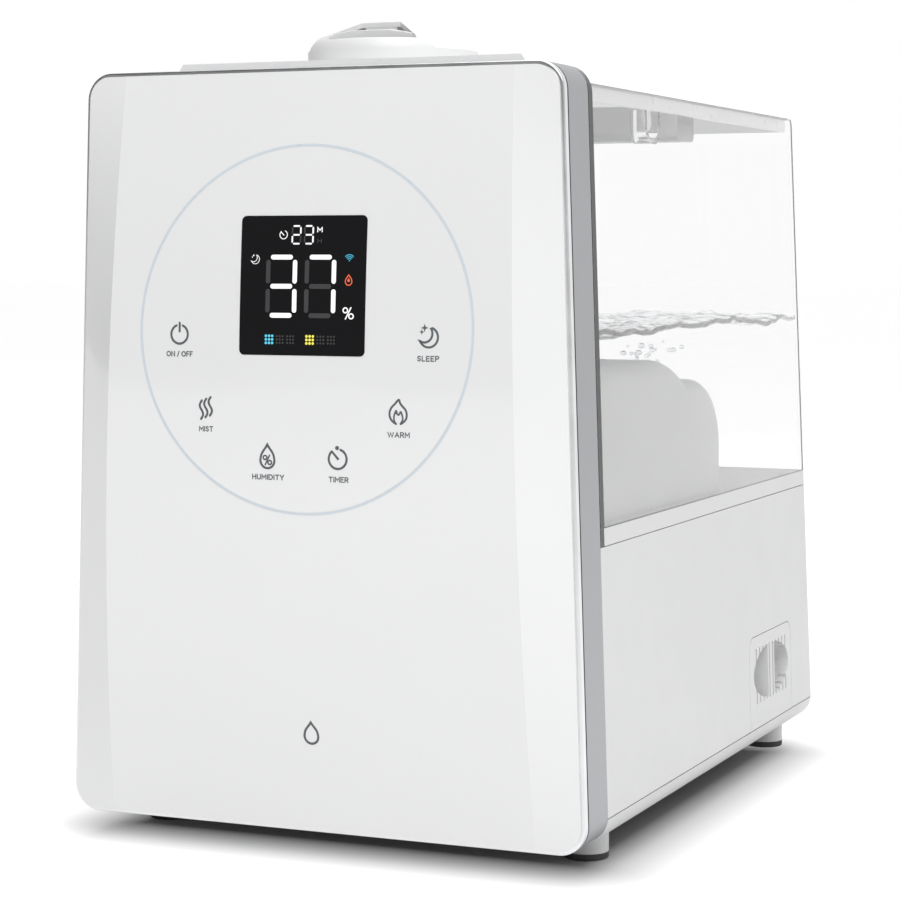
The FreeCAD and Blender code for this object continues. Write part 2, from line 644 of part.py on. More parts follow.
def make_drawer_tray():
    """Shallow tray behind the drawer front that carries the scent pad."""
    y = (DRAWER_Y[0] + 2.4, DRAWER_Y[1] - 2.4)
    floor = block((BAY_X + 2.4, 96.0), y, (19.4, 21.0))
    rim_x = (BAY_X + 2.4, 85.0)
    hollow = block((rim_x[0] + 1.6, rim_x[1] - 1.6), (y[0] + 1.6, y[1] - 1.6), (21.0, 40.0))
    rim = block(rim_x, y, (19.4, 35.0)).cut(hollow)
    tray = fuse_all([floor, rim]).common(layer(leaning_core(2.2), 0, 300))
    PARTS["drawer_tray"] = tray
    pad_y = (y[0] + 2.2, y[1] - 2.2)
    PARTS["aroma_pad"] = rounded_block((rim_x[0] + 2.2, rim_x[1] - 2.2), pad_y, (21.2, 31.0), 2.0)


# ---- tank ---------------------------------------------------------------------------------------

def make_tank_shell(outer, inner):
    """Clear walls, with a full-size clear plate at the front that stands behind the frame."""
    body = layer(outer, STRIP_TOP, TANK_TOP, FLANGE_Y[1])
    body = body.cut(layer(inner, 0, 300, TANK_VOID_FRONT))
    plate = layer(outer, TANK_SEAM + GAP, 400, FLANGE_Y[0], FLANGE_Y[1])
    PARTS["tank_shell"] = fuse_all([body, plate])


def hump_section(front, low, inset):
    """Side outline of the mist hump in the tank floor: a high front lobe and a lower rear one."""
    top = HUMP_TOP - inset
    step = HUMP_STEP - inset
    back = HUMP_BACK - inset
    lobe = HUMP_LOBE - inset
    lobe_z = step - 0.6 - lobe
    a = V(0, front, low)
    b = V(0, front, top)
    c = V(0, HUMP_SHOULDER, top)
    d = V(0, HUMP_SADDLE, step)
    e = V(0, back - lobe, step - 0.6)
    g = V(0, back, lobe_z)
    h = V(0, back, low)
    brow = Part.BSplineCurve()
    brow.interpolate([c, V(0, HUMP_SHOULDER + 19, top - 2.6), d])
    reach = lobe * math.sqrt(0.5)
    middle = V(0, back - lobe + reach, lobe_z + reach)
    edges = [Part.makeLine(a, b), Part.makeLine(b, c), brow.toShape(), Part.makeLine(d, e)]
    edges += [Part.Arc(e, middle, g).toShape(), Part.makeLine(g, h), Part.makeLine(h, a)]
    return Part.Wire(edges)


def make_mist_hump():
    """Hollow hump in the tank floor that covers the chimney."""
    solids = []
    for inset, low in ((0.0, TANK_FLOOR[1]), (HUMP_WALL, TANK_FLOOR[0] - 1)):
        half = HUMP_HALF - inset
        face = Part.Face(hump_section(TANK_VOID_FRONT + inset, low, inset))
        face.translate(V(-half, 0, 0))
        solid = face.extrude(V(2 * half, 0, 0))
        sides = []
        for edge in solid.Edges:
            box = edge.BoundBox
            if box.XLength < 1e-3 and box.ZMax > 118 and box.YMax > FLANGE_Y[1] + 8:
                sides.append(edge)
        solids.append(solid.makeFillet(7.0 - inset, sides))
    hump = solids[0].cut(solids[1])
    PARTS["mist_dome"] = hump.cut(rod(TUBE_RADIUS - 2, 0, MIST_Y, (150, 200)))


def make_tank_base(outer, inner):
    """Opaque ring and floor of the tank, open under the hump and at the valve neck."""
    ring = layer(outer, TANK_SEAM + GAP, STRIP_TOP, FLANGE_Y[1])
    hollow = layer(inner, TANK_SEAM - 5, TANK_FLOOR[0], TANK_VOID_FRONT)
    floor = ring.cut(hollow)
    half = HUMP_HALF - HUMP_WALL
    under = block((-half, half), (TANK_VOID_FRONT + HUMP_WALL, HUMP_BACK - HUMP_WALL), (100, 120))
    floor = floor.cut(under)
    vx, vy = VALVE
    neck = tube(22.0, 19.5, vx, vy, (100.0, TANK_FLOOR[0] + 0.5))
    floor = floor.cut(rod(19.5, vx, vy, (100, 130)))
    PARTS["tank_base"] = fuse_all([floor, neck])


def make_mist_tube():
    tube_part = tube(TUBE_RADIUS, TUBE_RADIUS - 2, 0, MIST_Y, (169.8, 261.0))
    rib = tube(TUBE_RADIUS + 1.5, TUBE_RADIUS - 0.5, 0, MIST_Y, (169.8, 172.0))
    PARTS["mist_tube"] = fuse_all([tube_part, rib])


def make_handle_bar(inner):
    """Bridge across the tank's mouth to carry the tank by."""
    y = HANDLE_Y
    bar = block((-80, 80), y, (249.4, 262.0))
    ends = block((-92, 92), y, (249.4, 258.6))
    bar = fuse_all([bar, ends])
    long_edges = []
    for edge in bar.Edges:
        if edge.BoundBox.XLength > 120 and edge.BoundBox.ZMax < 250.5:
            long_edges.append(edge)
    bar = bar.makeFillet(3.0, long_edges)
    channel = block((-70, 70), (y[0] + 3, y[1] - 3), (252, 270))
    PARTS["handle_bar"] = bar.cut(channel).common(layer(inner, 0, 300))


def make_pockets(inner):
    """Clear U-shaped pockets on both side walls that locate the lid's pegs."""
    solid = block((81.0, 92.0), POCKET_Y, POCKET_Z)
    low = []
    for edge in solid.Edges:
        if edge.BoundBox.XLength > 5 and edge.BoundBox.ZMax < POCKET_Z[0] + 1:
            low.append(edge)
    solid = solid.makeFillet(6.0, low)
    hollow = block((83.0, 92.0), (POCKET_Y[0] + 2.2, POCKET_Y[1] - 2.2), (POCKET_Z[0] + 2.2, 270))
    low = []
    for edge in hollow.Edges:
        if edge.BoundBox.XLength > 5 and edge.BoundBox.ZMax < POCKET_Z[0] + 3:
            low.append(edge)
    hollow = hollow.makeFillet(4.0, low)
    pocket = solid.cut(hollow).common(layer(inner, 0, 300))
    PARTS["peg_pockets"] = group([pocket, mirrored(pocket)])


def mirrored(shape):
    """The same shape on the other side."""
    return shape.mirror(V(0, 0, 0), V(1, 0, 0))


def make_valve():
    """Screw cap with its cage, the plunger inside it, the seal disc, the spring and the gasket."""
    vx, vy = VALVE
    skirt = tube(25.6, 22.0, vx, vy, (94.0, 111.0))
    bottom = tube(25.6, 9.0, vx, vy, (94.0, 97.0))
    hub = tube(5.0, 2.6, vx, vy, (94.0, 97.0))
    arms = []
    for k in range(3):
        arm = block((3.6, 11.0), (-1.2, 1.2), (94.0, 97.0))
        arm.rotate(V(0, 0, 0), V(0, 0, 1), 120 * k)
        arm.translate(V(vx, vy, 0))
        arms.append(arm)
    posts = []
    for k in range(3):
        turn = math.radians(60 + 120 * k)
        posts.append(rod(1.5, vx + 15.0 * math.cos(turn), vy + 15.0 * math.sin(turn), (96.0, 115.5)))
    bridge = tube(17.0, 2.6, vx, vy, (114.5, 116.5)).cut(ring_of_holes(vx, vy))
    grip = []
    for k in range(18):
        turn = math.radians(20 * k)
        grip.append(rod(1.0, vx + 25.6 * math.cos(turn), vy + 25.6 * math.sin(turn), (95.0, 110.0)))
    PARTS["valve_cap"] = fuse_all([skirt, bottom, hub, bridge] + arms + posts + grip)
    PARTS["valve_gasket"] = tube(25.0, 22.2, vx, vy, (111.0, TANK_FLOOR[0]))
    stem = rod(2.5, vx, vy, (88.0, 121.0))
    disc = rod(11.0, vx, vy, (101.5, 103.5))
    PARTS["valve_plunger"] = fuse_all([stem, disc])
    PARTS["valve_seal"] = tube(12.0, 2.5, vx, vy, (100.0, 101.5))
    PARTS["valve_spring"] = coil(vx, vy, 5.2, 0.45, (104.1, 113.9), 5)


def ring_of_holes(x, y):
    holes = []
    for k in range(6):
        turn = math.radians(60 * k)
        holes.append(rod(2.7, x + 10.6 * math.cos(turn), y + 10.6 * math.sin(turn), (112, 119)))
    return Part.makeCompound(holes)


def coil(x, y, radius, wire, z, turns):
    """A helical wire spring."""
    height = z[1] - z[0]
    helix = Part.makeHelix(height / turns, height, radius)
    section = []
    for k in range(9):
        turn = math.radians(45 * k)
        section.append(V(radius + wire * math.cos(turn), 0, wire * math.sin(turn)))
    spring = Part.Wire(helix).makePipeShell([Part.makePolygon(section)], True, True)
    spring.translate(V(x, y, z[0]))
    return spring


# ---- lid and nozzle -----------------------------------------------------------------------------
def make_lid(outer, inner):
    """Lid shell with a locating skirt inside the tank's mouth."""
    shell = layer(outer, LID_BOTTOM, 300, LID_FRONT)
    hollow = layer(frame_inner(4.0), 0, 267.6, LID_FRONT + 4.0)
    skirt_out = layer(frame_inner(4.0), SKIRT_BOTTOM, 268.0, TANK_VOID_FRONT + 0.6)
    skirt_in = layer(frame_inner(5.8), 250.0, 267.6, TANK_VOID_FRONT + 2.4)
    lid = fuse_all([shell.cut(hollow), skirt_out.cut(skirt_in)])
    PARTS["lid_cover"] = lid.cut(rod(COLLAR_RADIUS, 0, MIST_Y, (240, 300)))


def frame_inner(inset):
    """The straight-sided form, upright edges rounded, shrunk by an inset."""
    solid = frustum(inset, FRAME_BACK, 200.0, 300.0)
    upright = []
    for edge in solid.Edges:
        a, b = edge.Vertexes[0].Point, edge.Vertexes[1].Point
        if abs(a.z - b.z) > 1 and min(a.y, b.y) > FRAME_BACK + 1:
            upright.append(edge)
    return solid.makeFillet(SKIRT_CORNER, upright)


def make_lid_deck():
    """Raised deck on the lid, its long edges sloped, its front reaching over the tank's plate."""
    half = DECK_HALF
    slope = 2.6
    front = FRONT_Y + 24.3
    back = 112.0
    points = [(-half, PANEL_TOP), (half, PANEL_TOP), (half - slope, DECK_TOP), (-half + slope, DECK_TOP)]
    deck = prism_xz(points, front, back)
    deck = deck.cut(block((-100, 100), (front - 1, LID_FRONT), (PANEL_TOP - 1, PANEL_TOP + GAP)))
    rear = [e for e in deck.Edges if e.BoundBox.YMin > back - 0.1 and e.BoundBox.ZMin > DECK_TOP - 0.1]
    deck = deck.makeChamfer(2.4, rear)
    PARTS["lid_deck"] = deck.cut(rod(COLLAR_RADIUS, 0, MIST_Y, (240, 300)))


def make_lid_pegs():
    """White pegs under the lid's skirt that drop into the tank's pockets."""
    y, z = PEG
    wall = half_width(z) - WALL
    peg = rod_along(V(1, 0, 0), 3.4, V(83.6, y, z), wall - 1.7 - 83.6)
    tab = block((83.6, 84.8), (y - 2.6, y + 2.6), (z, SKIRT_BOTTOM))
    piece = peg.fuse(tab).removeSplitter()
    PARTS["lid_pegs"] = group([piece, mirrored(piece)])


def make_collar():
    """Collar on the lid that the nozzle turns on, and the gasket that meets the mist tube."""
    PARTS["nozzle_collar"] = tube(COLLAR_RADIUS, 22.6, 0, MIST_Y, (262.6, COLLAR_TOP))
    PARTS["lid_gasket"] = tube(24.6, TUBE_RADIUS + 0.5, 0, MIST_Y, (258.8, 262.6))


def under_plane(points, drop=0.0):
    """A large block whose top face passes through three points, lowered by a distance."""
    a, b, c = [V(*p) for p in points]
    normal = (b - a).cross(c - a)
    if normal.z < 0:
        normal = normal * -1
    slab = Part.makeBox(160, 160, 60, V(-80, -80, -60))
    slab.Placement = FreeCAD.Placement(a - V(0, 0, drop), FreeCAD.Rotation(V(0, 0, 1), normal))
    return slab


def both_sides(points):
    """Three points and their mirror images across the middle."""
    return [points, [(-x, y, z) for x, y, z in points]]


def nozzle_turned(inset):
    """The nozzle's turned form: upright rim, rounded shoulder, shallow cone, flat top."""
    rim = NOZZLE_RADIUS - inset
    shoulder, shoulder_z = NOZZLE_SHOULDER
    top, top_z = NOZZLE_TOP
    a = V(0, 0, NOZZLE_BOTTOM)
    b = V(rim, 0, NOZZLE_BOTTOM)
    c = V(rim, 0, 278.6)
    d = V(rim - 0.5, 0, 281.6)
    e = V(shoulder - inset, 0, shoulder_z - inset)
    g = V(top, 0, top_z - inset)
    h = V(0, 0, top_z - inset)
    edges = [Part.makeLine(a, b), Part.makeLine(b, c), Part.Arc(c, d, e).toShape()]
    edges += [Part.makeLine(e, g), Part.makeLine(g, h), Part.makeLine(h, a)]
    return Part.Face(Part.Wire(edges)).revolve(V(0, 0, 0), V(0, 0, 1), 360)


def nozzle_form(inset):
    """The nozzle's outside, or its hollow when inset: a hood in front and a low roof behind."""
    turned = nozzle_turned(inset)
    drop = inset * 1.15
    back = [HOOD_FOOT, (-HOOD_FOOT[0], HOOD_FOOT[1], HOOD_FOOT[2]), REAR_MIDDLE]
    roof = turned.common(under_plane(back, drop))
    for facet in both_sides([HOOD_FOOT, RIB_FOOT, REAR_FOOT]):
        roof = roof.common(under_plane(facet, drop))
    slope = [RIDGE_END, (-RIDGE_END[0], RIDGE_END[1], RIDGE_END[2]), HOOD_FOOT]
    hood = turned.common(under_plane(slope, drop))
    for side in both_sides([RIDGE_END, RIB_FOOT, HOOD_FOOT]):
        hood = hood.common(under_plane(side, drop))
    ledge = turned.common(block((-40, 40), (-40, 40), (NOZZLE_BOTTOM - 1, NOZZLE_LEDGE - inset)))
    return fuse_all([ledge, roof, hood])


def window_plan(z0):
    """Prism over the outlet window: narrow at the ridge, widening to the front."""
    near = NOZZLE_RIDGE - 0.9
    points = [(-7.4, near), (7.4, near), (30.0, near - 23.4), (-30.0, near - 23.4)]
    wire = Part.makePolygon([V(x, y, z0) for x, y in points + points[:1]])
    return Part.Face(wire).extrude(V(0, 0, 30))


def make_nozzle():
    """Turning nozzle cap: a hood with one louvred window in front and a low roof behind."""
    hollow = nozzle_form(NOZZLE_WALL).common(rod(COLLAR_RADIUS - 3.0, 0, 0, (270, 300)))
    socket = rod(COLLAR_RADIUS + 0.4, 0, 0, (270, NOZZLE_LEDGE - 1.4))
    body = nozzle_form(0.0).cut(hollow).cut(socket)
    body = body.cut(window_plan(276.0).common(rod(26.4, 0, 0, (270, 300))))
    body = body.cut(window_plan(NOZZLE_LIP))
    baffle = block((-6.0, 6.0), (NOZZLE_RIDGE - 0.8, NOZZLE_RIDGE + 0.4), (282.0, 289.0))
    body = body.fuse(baffle.common(nozzle_form(0.4)))
    body.translate(V(0, MIST_Y, 0))
    PARTS["nozzle_body"] = largest(body)
    louvre = block((-19, 19), (-19.6, -18.7), (281.2, 286.4))
    louvre.rotate(V(0, -19, 286.4), V(1, 0, 0), 14)
    louvre = louvre.common(window_plan(276.0)).common(nozzle_turned(0.4))
    louvre.translate(V(0, MIST_Y, 0))
    PARTS["nozzle_louvre"] = largest(louvre.cut(PARTS["nozzle_body"]))


# ---- assembly -----------------------------------------------------------------------------------
def main():
    outer = envelope(0.0, FRAME_BACK)
    inner = envelope(WALL, FRAME_BACK + WALL)
    make_frame()
    make_front_panel()
    make_ring_inlay()
    make_display_window()
    make_display_board()
    make_touch_pads()
    make_base_shell(outer, inner)
    make_bottom_tray(outer, inner)
    make_feet(PARTS["bottom_tray"])
    make_screws()
    make_basin(inner)
    make_mist_chamber()
    make_float_parts()
    make_valve_post()
    make_blower()
    make_blower_wheel()
    make_air_duct()
    make_power_board()
    make_ribbon_cable()
    make_mains_inlet()
    make_humidity_sensor()
    make_drawer_bay(inner)
    make_drawer_front(outer)
    make_drawer_tray()
    make_tank_shell(outer, inner)
    make_tank_base(outer, inner)
    make_mist_hump()
    make_mist_tube()
    make_handle_bar(inner)
    make_pockets(inner)
    make_valve()
    make_lid(outer, inner)
    make_lid_deck()
    make_lid_pegs()
    make_collar()
    make_nozzle()
    os.makedirs("parts", exist_ok=True)
    for name, shape in PARTS.items():
        shape.exportStep("parts/" + name + ".step")
        box = shape.BoundBox
        print(name, shape.isValid(), len(shape.Solids), round(shape.Volume),
              [round(v, 2) for v in (box.XMin, box.XMax, box.YMin, box.YMax, box.ZMin, box.ZMax)])


main()
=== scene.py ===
import json
import math
import random

import bmesh
import bpy
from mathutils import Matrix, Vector, noise


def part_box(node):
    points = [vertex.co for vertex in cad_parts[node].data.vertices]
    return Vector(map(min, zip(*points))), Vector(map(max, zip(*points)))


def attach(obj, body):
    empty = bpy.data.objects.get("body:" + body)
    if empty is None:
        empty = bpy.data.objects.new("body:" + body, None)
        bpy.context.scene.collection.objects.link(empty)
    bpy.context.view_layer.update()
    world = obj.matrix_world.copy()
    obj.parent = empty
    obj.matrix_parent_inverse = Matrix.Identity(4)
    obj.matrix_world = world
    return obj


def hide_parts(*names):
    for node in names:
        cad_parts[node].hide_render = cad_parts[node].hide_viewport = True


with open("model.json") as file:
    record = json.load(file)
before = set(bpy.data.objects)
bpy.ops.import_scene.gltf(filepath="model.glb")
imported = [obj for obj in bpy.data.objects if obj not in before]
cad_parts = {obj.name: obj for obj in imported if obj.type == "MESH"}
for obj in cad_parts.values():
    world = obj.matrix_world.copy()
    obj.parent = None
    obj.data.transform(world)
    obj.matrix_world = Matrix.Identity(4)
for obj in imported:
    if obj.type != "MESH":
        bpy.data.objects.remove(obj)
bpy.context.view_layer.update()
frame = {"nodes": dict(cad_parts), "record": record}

MM = 0.001

# ---- places read from the frame -----------------------------------------------------------------
RIM_LOW, RIM_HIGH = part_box("trim_ring")
PANEL_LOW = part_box("front_panel")[0]
RIM_Y = RIM_LOW[1]
PANEL_MID_Z = (RIM_LOW[2] + RIM_HIGH[2]) / 2
PANEL_HALF_Z = (RIM_HIGH[2] - RIM_LOW[2]) / 2
BULGE_EDGE = 1.5 * MM
BULGE_PEAK = RIM_Y - PANEL_LOW[1]
WINDOW_LOW, WINDOW_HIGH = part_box("display_window")


def panel_y(z):
    """The front panel's middle strip at a height."""
    fall = ((z - PANEL_MID_Z) / PANEL_HALF_Z) ** 2
    return RIM_Y - BULGE_EDGE - (BULGE_PEAK - BULGE_EDGE) * (1 - fall)


# ---- materials ----------------------------------------------------------------------------------
PLASTIC_IOR = 1.46
WATER_IOR = 1.333
WHITE = (1.0, 1.0, 1.0, 1.0)
UNLIT_BODY = (0.02, 0.02, 0.02, 1.0)    # colour of a display element without its light


def new_material(name):
    """A node material, with its nodes, its links and its Principled shader."""
    material = bpy.data.materials.new(name)
    material.use_nodes = True
    nodes = material.node_tree.nodes
    return material, nodes, material.node_tree.links, nodes["Principled BSDF"]


def noise_node(nodes, links, scale, detail=4.0, rough=0.5, coords=None):
    """Noise in object space, or over other coordinates."""
    place = coords or nodes.new("ShaderNodeTexCoord").outputs["Object"]
    node = nodes.new("ShaderNodeTexNoise")
    node.inputs["Scale"].default_value = scale
    node.inputs["Detail"].default_value = detail
    node.inputs["Roughness"].default_value = rough
    links.new(place, node.inputs["Vector"])
    return node


def ramp(nodes, links, source, low, high, at=(0.35, 0.65)):
    """Maps a value to a range of greys or colours."""
    node = nodes.new("ShaderNodeValToRGB")
    for element, place, value in zip(node.color_ramp.elements, at, (low, high)):
        element.position = place
        colour = value if isinstance(value, (tuple, list)) else (value, value, value)
        element.color = (*colour[:3], 1.0)
    links.new(source, node.inputs["Fac"])
    return node.outputs["Color"]


def add_relief(nodes, links, shader, height, strength, distance):
    """Surface relief from a noise node; the distance is in millimetres."""
    node = nodes.new("ShaderNodeBump")
    node.inputs["Strength"].default_value = strength
    node.inputs["Distance"].default_value = distance * MM
    links.new(height.outputs["Fac"], node.inputs["Height"])
    links.new(node.outputs["Normal"], shader.inputs["Normal"])


def moulded(name, colour, roughness, spread=0.04, grain=900.0, bump=0.02, mottle=0.015, coat=0.0,
            ior=PLASTIC_IOR, glow=0.0):
    """Moulded plastic: a slight mottle, uneven gloss and a fine surface grain.

    A little glow stands in for light that passes through a thin, translucent wall."""
    material, nodes, links, shader = new_material(name)
    broad = noise_node(nodes, links, 14.0, 3.0)
    dark = tuple(c * (1 - mottle) for c in colour)
    light = tuple(min(1.0, c * (1 + mottle)) for c in colour)
    links.new(ramp(nodes, links, broad.outputs["Fac"], dark, light), shader.inputs["Base Color"])
    gloss = noise_node(nodes, links, 60.0, 5.0)
    links.new(ramp(nodes, links, gloss.outputs["Fac"], roughness - spread, roughness + spread),
              shader.inputs["Roughness"])
    fine = noise_node(nodes, links, grain, 2.0, 0.6)
    add_relief(nodes, links, shader, fine, bump, 0.1)
    shader.inputs["Coat Weight"].default_value = coat
    shader.inputs["Coat Roughness"].default_value = 0.04
    shader.inputs["IOR"].default_value = ior
    if glow:
        shader.inputs["Emission Color"].default_value = WHITE
        shader.inputs["Emission Strength"].default_value = glow
    return material


def metal(name, colour, roughness, spread=0.05, stretch=(1.0, 1.0, 1.0), scale=700.0, bump=0.03):
    """Metal with fine brushed or grained variation."""
    material, nodes, links, shader = new_material(name)
    shader.inputs["Metallic"].default_value = 1.0
    mapping = nodes.new("ShaderNodeMapping")
    mapping.inputs["Scale"].default_value = stretch
    links.new(nodes.new("ShaderNodeTexCoord").outputs["Object"], mapping.inputs["Vector"])
    grain = noise_node(nodes, links, scale, 3.0, 0.6, mapping.outputs["Vector"])
    dark = tuple(c * 0.95 for c in colour)
    light = tuple(min(1.0, c * 1.05) for c in colour)
    links.new(ramp(nodes, links, grain.outputs["Fac"], dark, light), shader.inputs["Base Color"])
    links.new(ramp(nodes, links, grain.outputs["Fac"], roughness - spread, roughness + spread),
              shader.inputs["Roughness"])
    add_relief(nodes, links, shader, grain, bump, 0.05)
    return material


def clear_plastic(name, tint, roughness, haze):
    """Clear polymer: refracting, with faint moulding waves in its surface."""
    material, nodes, links, shader = new_material(name)
    shader.inputs["Base Color"].default_value = (*tint, 1.0)
    shader.inputs["Transmission Weight"].default_value = 1.0
    shader.inputs["IOR"].default_value = PLASTIC_IOR
    gloss = noise_node(nodes, links, 30.0, 3.0)
    links.new(ramp(nodes, links, gloss.outputs["Fac"], roughness, roughness + haze),
              shader.inputs["Roughness"])
    waves = noise_node(nodes, links, 22.0, 1.0, 0.3)
    add_relief(nodes, links, shader, waves, 0.03, 0.3)
    return material


def glowing(name, colour, strength):
    """Lit display element, a little uneven across its area."""
    material, nodes, links, shader = new_material(name)
    shader.inputs["Base Color"].default_value = UNLIT_BODY
    shader.inputs["Roughness"].default_value = 0.35
    shader.inputs["Emission Strength"].default_value = strength
    patch = noise_node(nodes, links, 260.0, 2.0)
    dim = tuple(c * 0.93 for c in colour)
    links.new(ramp(nodes, links, patch.outputs["Fac"], dim, colour), shader.inputs["Emission Color"])
    return material


def circuit(name):
    """Green solder mask with a faint pattern of tracks."""
    material, nodes, links, shader = new_material(name)
    tracks = nodes.new("ShaderNodeTexVoronoi")
    tracks.feature = "DISTANCE_TO_EDGE"
    tracks.distance = "MANHATTAN"
    tracks.inputs["Scale"].default_value = 180.0
    links.new(nodes.new("ShaderNodeTexCoord").outputs["Object"], tracks.inputs["Vector"])
    mask, bare = (0.03, 0.17, 0.08), (0.10, 0.33, 0.17)
    links.new(ramp(nodes, links, tracks.outputs["Distance"], bare, mask, (0.02, 0.08)),
              shader.inputs["Base Color"])
    shader.inputs["Roughness"].default_value = 0.32
    return material


def felt(name, colour):
    """Matted fibre."""
    material, nodes, links, shader = new_material(name)
    fibre = noise_node(nodes, links, 1600.0, 8.0, 0.75)
    dark = tuple(c * 0.72 for c in colour)
    links.new(ramp(nodes, links, fibre.outputs["Fac"], dark, colour), shader.inputs["Base Color"])
    shader.inputs["Roughness"].default_value = 0.95
    shader.inputs["Sheen Weight"].default_value = 0.3
    add_relief(nodes, links, shader, fibre, 0.6, 0.4)
    return material


def water_material(name):
    """Clear water with fine ripples in its surface."""
    material, nodes, links, shader = new_material(name)
    shader.inputs["Base Color"].default_value = (0.84, 0.87, 0.89, 1.0)
    shader.inputs["Transmission Weight"].default_value = 1.0
    shader.inputs["IOR"].default_value = WATER_IOR
    shader.inputs["Roughness"].default_value = 0.0
    ripple = noise_node(nodes, links, 90.0, 3.0)
    add_relief(nodes, links, shader, ripple, 0.4, 1.5)
    return material


MATERIALS = {
    "satin_metal": metal("satin_metal", (0.36, 0.365, 0.38), 0.34, stretch=(1.0, 1.0, 0.06)),
    "polished_rim": metal("polished_rim", (0.78, 0.785, 0.79), 0.30, spread=0.02, scale=60.0, bump=0.0),
    "panel_white": moulded("panel_white", (0.765, 0.767, 0.771), 0.16, 0.02, bump=0.004,
                           mottle=0.004, coat=0.6),
    "window_black": moulded("window_black", (0.011, 0.011, 0.012), 0.12, 0.02, bump=0.0,
                            mottle=0.02, ior=1.25),
    "inlay_grey": moulded("inlay_grey", (0.58, 0.63, 0.67), 0.30, 0.03, bump=0.01),
    "shell_white": moulded("shell_white", (0.64, 0.642, 0.645), 0.42, 0.04, bump=0.05, mottle=0.008),
    "inner_white": moulded("inner_white", (0.74, 0.75, 0.76), 0.45, 0.05, bump=0.05),
    "lid_white": moulded("lid_white", (0.74, 0.742, 0.745), 0.30, 0.03, bump=0.02,
                         mottle=0.006, glow=0.15),
    "nozzle_white": moulded("nozzle_white", (0.76, 0.762, 0.765), 0.36, 0.03, bump=0.03, mottle=0.008),
    "tank_clear": clear_plastic("tank_clear", (1.0, 1.0, 1.0), 0.01, haze=0.01),
    "dome_frosted": moulded("dome_frosted", (0.68, 0.685, 0.69), 0.40, 0.05, bump=0.03),
    "handle_grey": moulded("handle_grey", (0.84, 0.845, 0.85), 0.40, 0.04, bump=0.03),
    "foot_rubber": moulded("foot_rubber", (0.055, 0.055, 0.058), 0.75, 0.06, grain=1500.0,
                           bump=0.25, mottle=0.06),
    "silicone": moulded("silicone", (0.72, 0.72, 0.70), 0.55, 0.05, bump=0.04),
    "steel": metal("steel", (0.56, 0.565, 0.57), 0.28),
    "circuit_board": circuit("circuit_board"),
    "dark_plastic": moulded("dark_plastic", (0.035, 0.035, 0.038), 0.42, 0.05, bump=0.05, mottle=0.05),
    "cable_grey": moulded("cable_grey", (0.42, 0.43, 0.45), 0.50, 0.05),
    "ceramic_disc": metal("ceramic_disc", (0.62, 0.55, 0.36), 0.32),
    "scent_pad": felt("scent_pad", (0.80, 0.81, 0.80)),
    "float_blue": moulded("float_blue", (0.46, 0.60, 0.72), 0.42, 0.05),
}
PRINT_GREY = moulded("print_grey", (0.10, 0.108, 0.118), 0.55, 0.05, bump=0.0, mottle=0.05)
LIT_WHITE = glowing("lit_white", (1.0, 1.0, 1.0), 1.15)
LIT_CYAN = glowing("lit_cyan", (0.10, 0.62, 0.80), 1.1)
LIT_YELLOW = glowing("lit_yellow", (0.93, 0.86, 0.10), 1.1)
LIT_ORANGE = glowing("lit_orange", (0.85, 0.14, 0.05), 1.1)
LIT_BLUE = glowing("lit_blue", (0.05, 0.42, 0.60), 1.1)
UNLIT = moulded("unlit_segment", (0.045, 0.045, 0.047), 0.45, 0.04, bump=0.0)
WATER = water_material("water")


def dress_frame():
    """Gives every CAD node the procedural material of its slot."""
    slots = {entry["node"]: entry["material_slot"] for entry in frame["record"]["subparts"]}
    for name, node in frame["nodes"].items():
        material = MATERIALS[slots[name]]
        if not node.material_slots:
            node.data.materials.append(material)
        for place in node.material_slots:
            place.material = material


dress_frame()


# ---- flat shapes, in millimetres across (u) and up (v) ------------------------------------------
MITRE_LIMIT = 0.5       # a mitred corner is stretched by its inverse at most
CAP_STEPS = 6
CURVE_STEPS = 4
STAR_WAIST = 0.36       # inner reach of a star, as a part of its outer reach
DROP_STEPS = 14
DROP_SHOULDER = 18      # degrees above the widest place at which the sides leave the round
DROP_BOW = 0.13         # how far the sides bow out, as a part of the width


def arc(cu, cv, radius, start, stop, steps=24, squash=1.0):
    """Points along an arc; angles in degrees, anticlockwise from the right."""
    points = []
    for i in range(steps + 1):
        turn = math.radians(start + (stop - start) * i / steps)
        points.append((cu + radius * math.cos(turn), cv + radius * squash * math.sin(turn)))
    return points


def offset_side(points, distance, closed=False):
    """The path moved sideways by a distance, mitred at its corners."""
    moved = []
    count = len(points)
    for i, (u, v) in enumerate(points):
        before = points[i - 1] if closed or i else None
        after = points[(i + 1) % count] if closed or i < count - 1 else None
        sides = []
        if before is not None:
            sides.append(Vector((u - before[0], v - before[1])).normalized())
        if after is not None:
            sides.append(Vector((after[0] - u, after[1] - v)).normalized())
        along = sum(sides, Vector((0, 0))).normalized()
        normal = Vector((-along.y, along.x))
        stretch = 1.0 / max(MITRE_LIMIT, abs(normal.dot(Vector((-sides[0].y, sides[0].x)))))
        moved.append((u + normal.x * distance * stretch, v + normal.y * distance * stretch))
    return moved


def cap(centre, start, radius):
    """Half-round end from a start angle, turning clockwise."""
    points = []
    for i in range(1, CAP_STEPS):
        turn = start - math.pi * i / CAP_STEPS
        points.append((centre[0] + radius * math.cos(turn), centre[1] + radius * math.sin(turn)))
    return points


def stroke(points, width):
    """Outline of an open path of a given width, with round ends."""
    half = width / 2
    left = offset_side(points, half)
    right = offset_side(points, -half)
    first = math.atan2(points[1][1] - points[0][1], points[1][0] - points[0][0])
    last = math.atan2(points[-1][1] - points[-2][1], points[-1][0] - points[-2][0])
    outline = left + cap(points[-1], last + math.pi / 2, half)
    outline += right[::-1] + cap(points[0], first - math.pi / 2, half)
    return ("solid", outline)


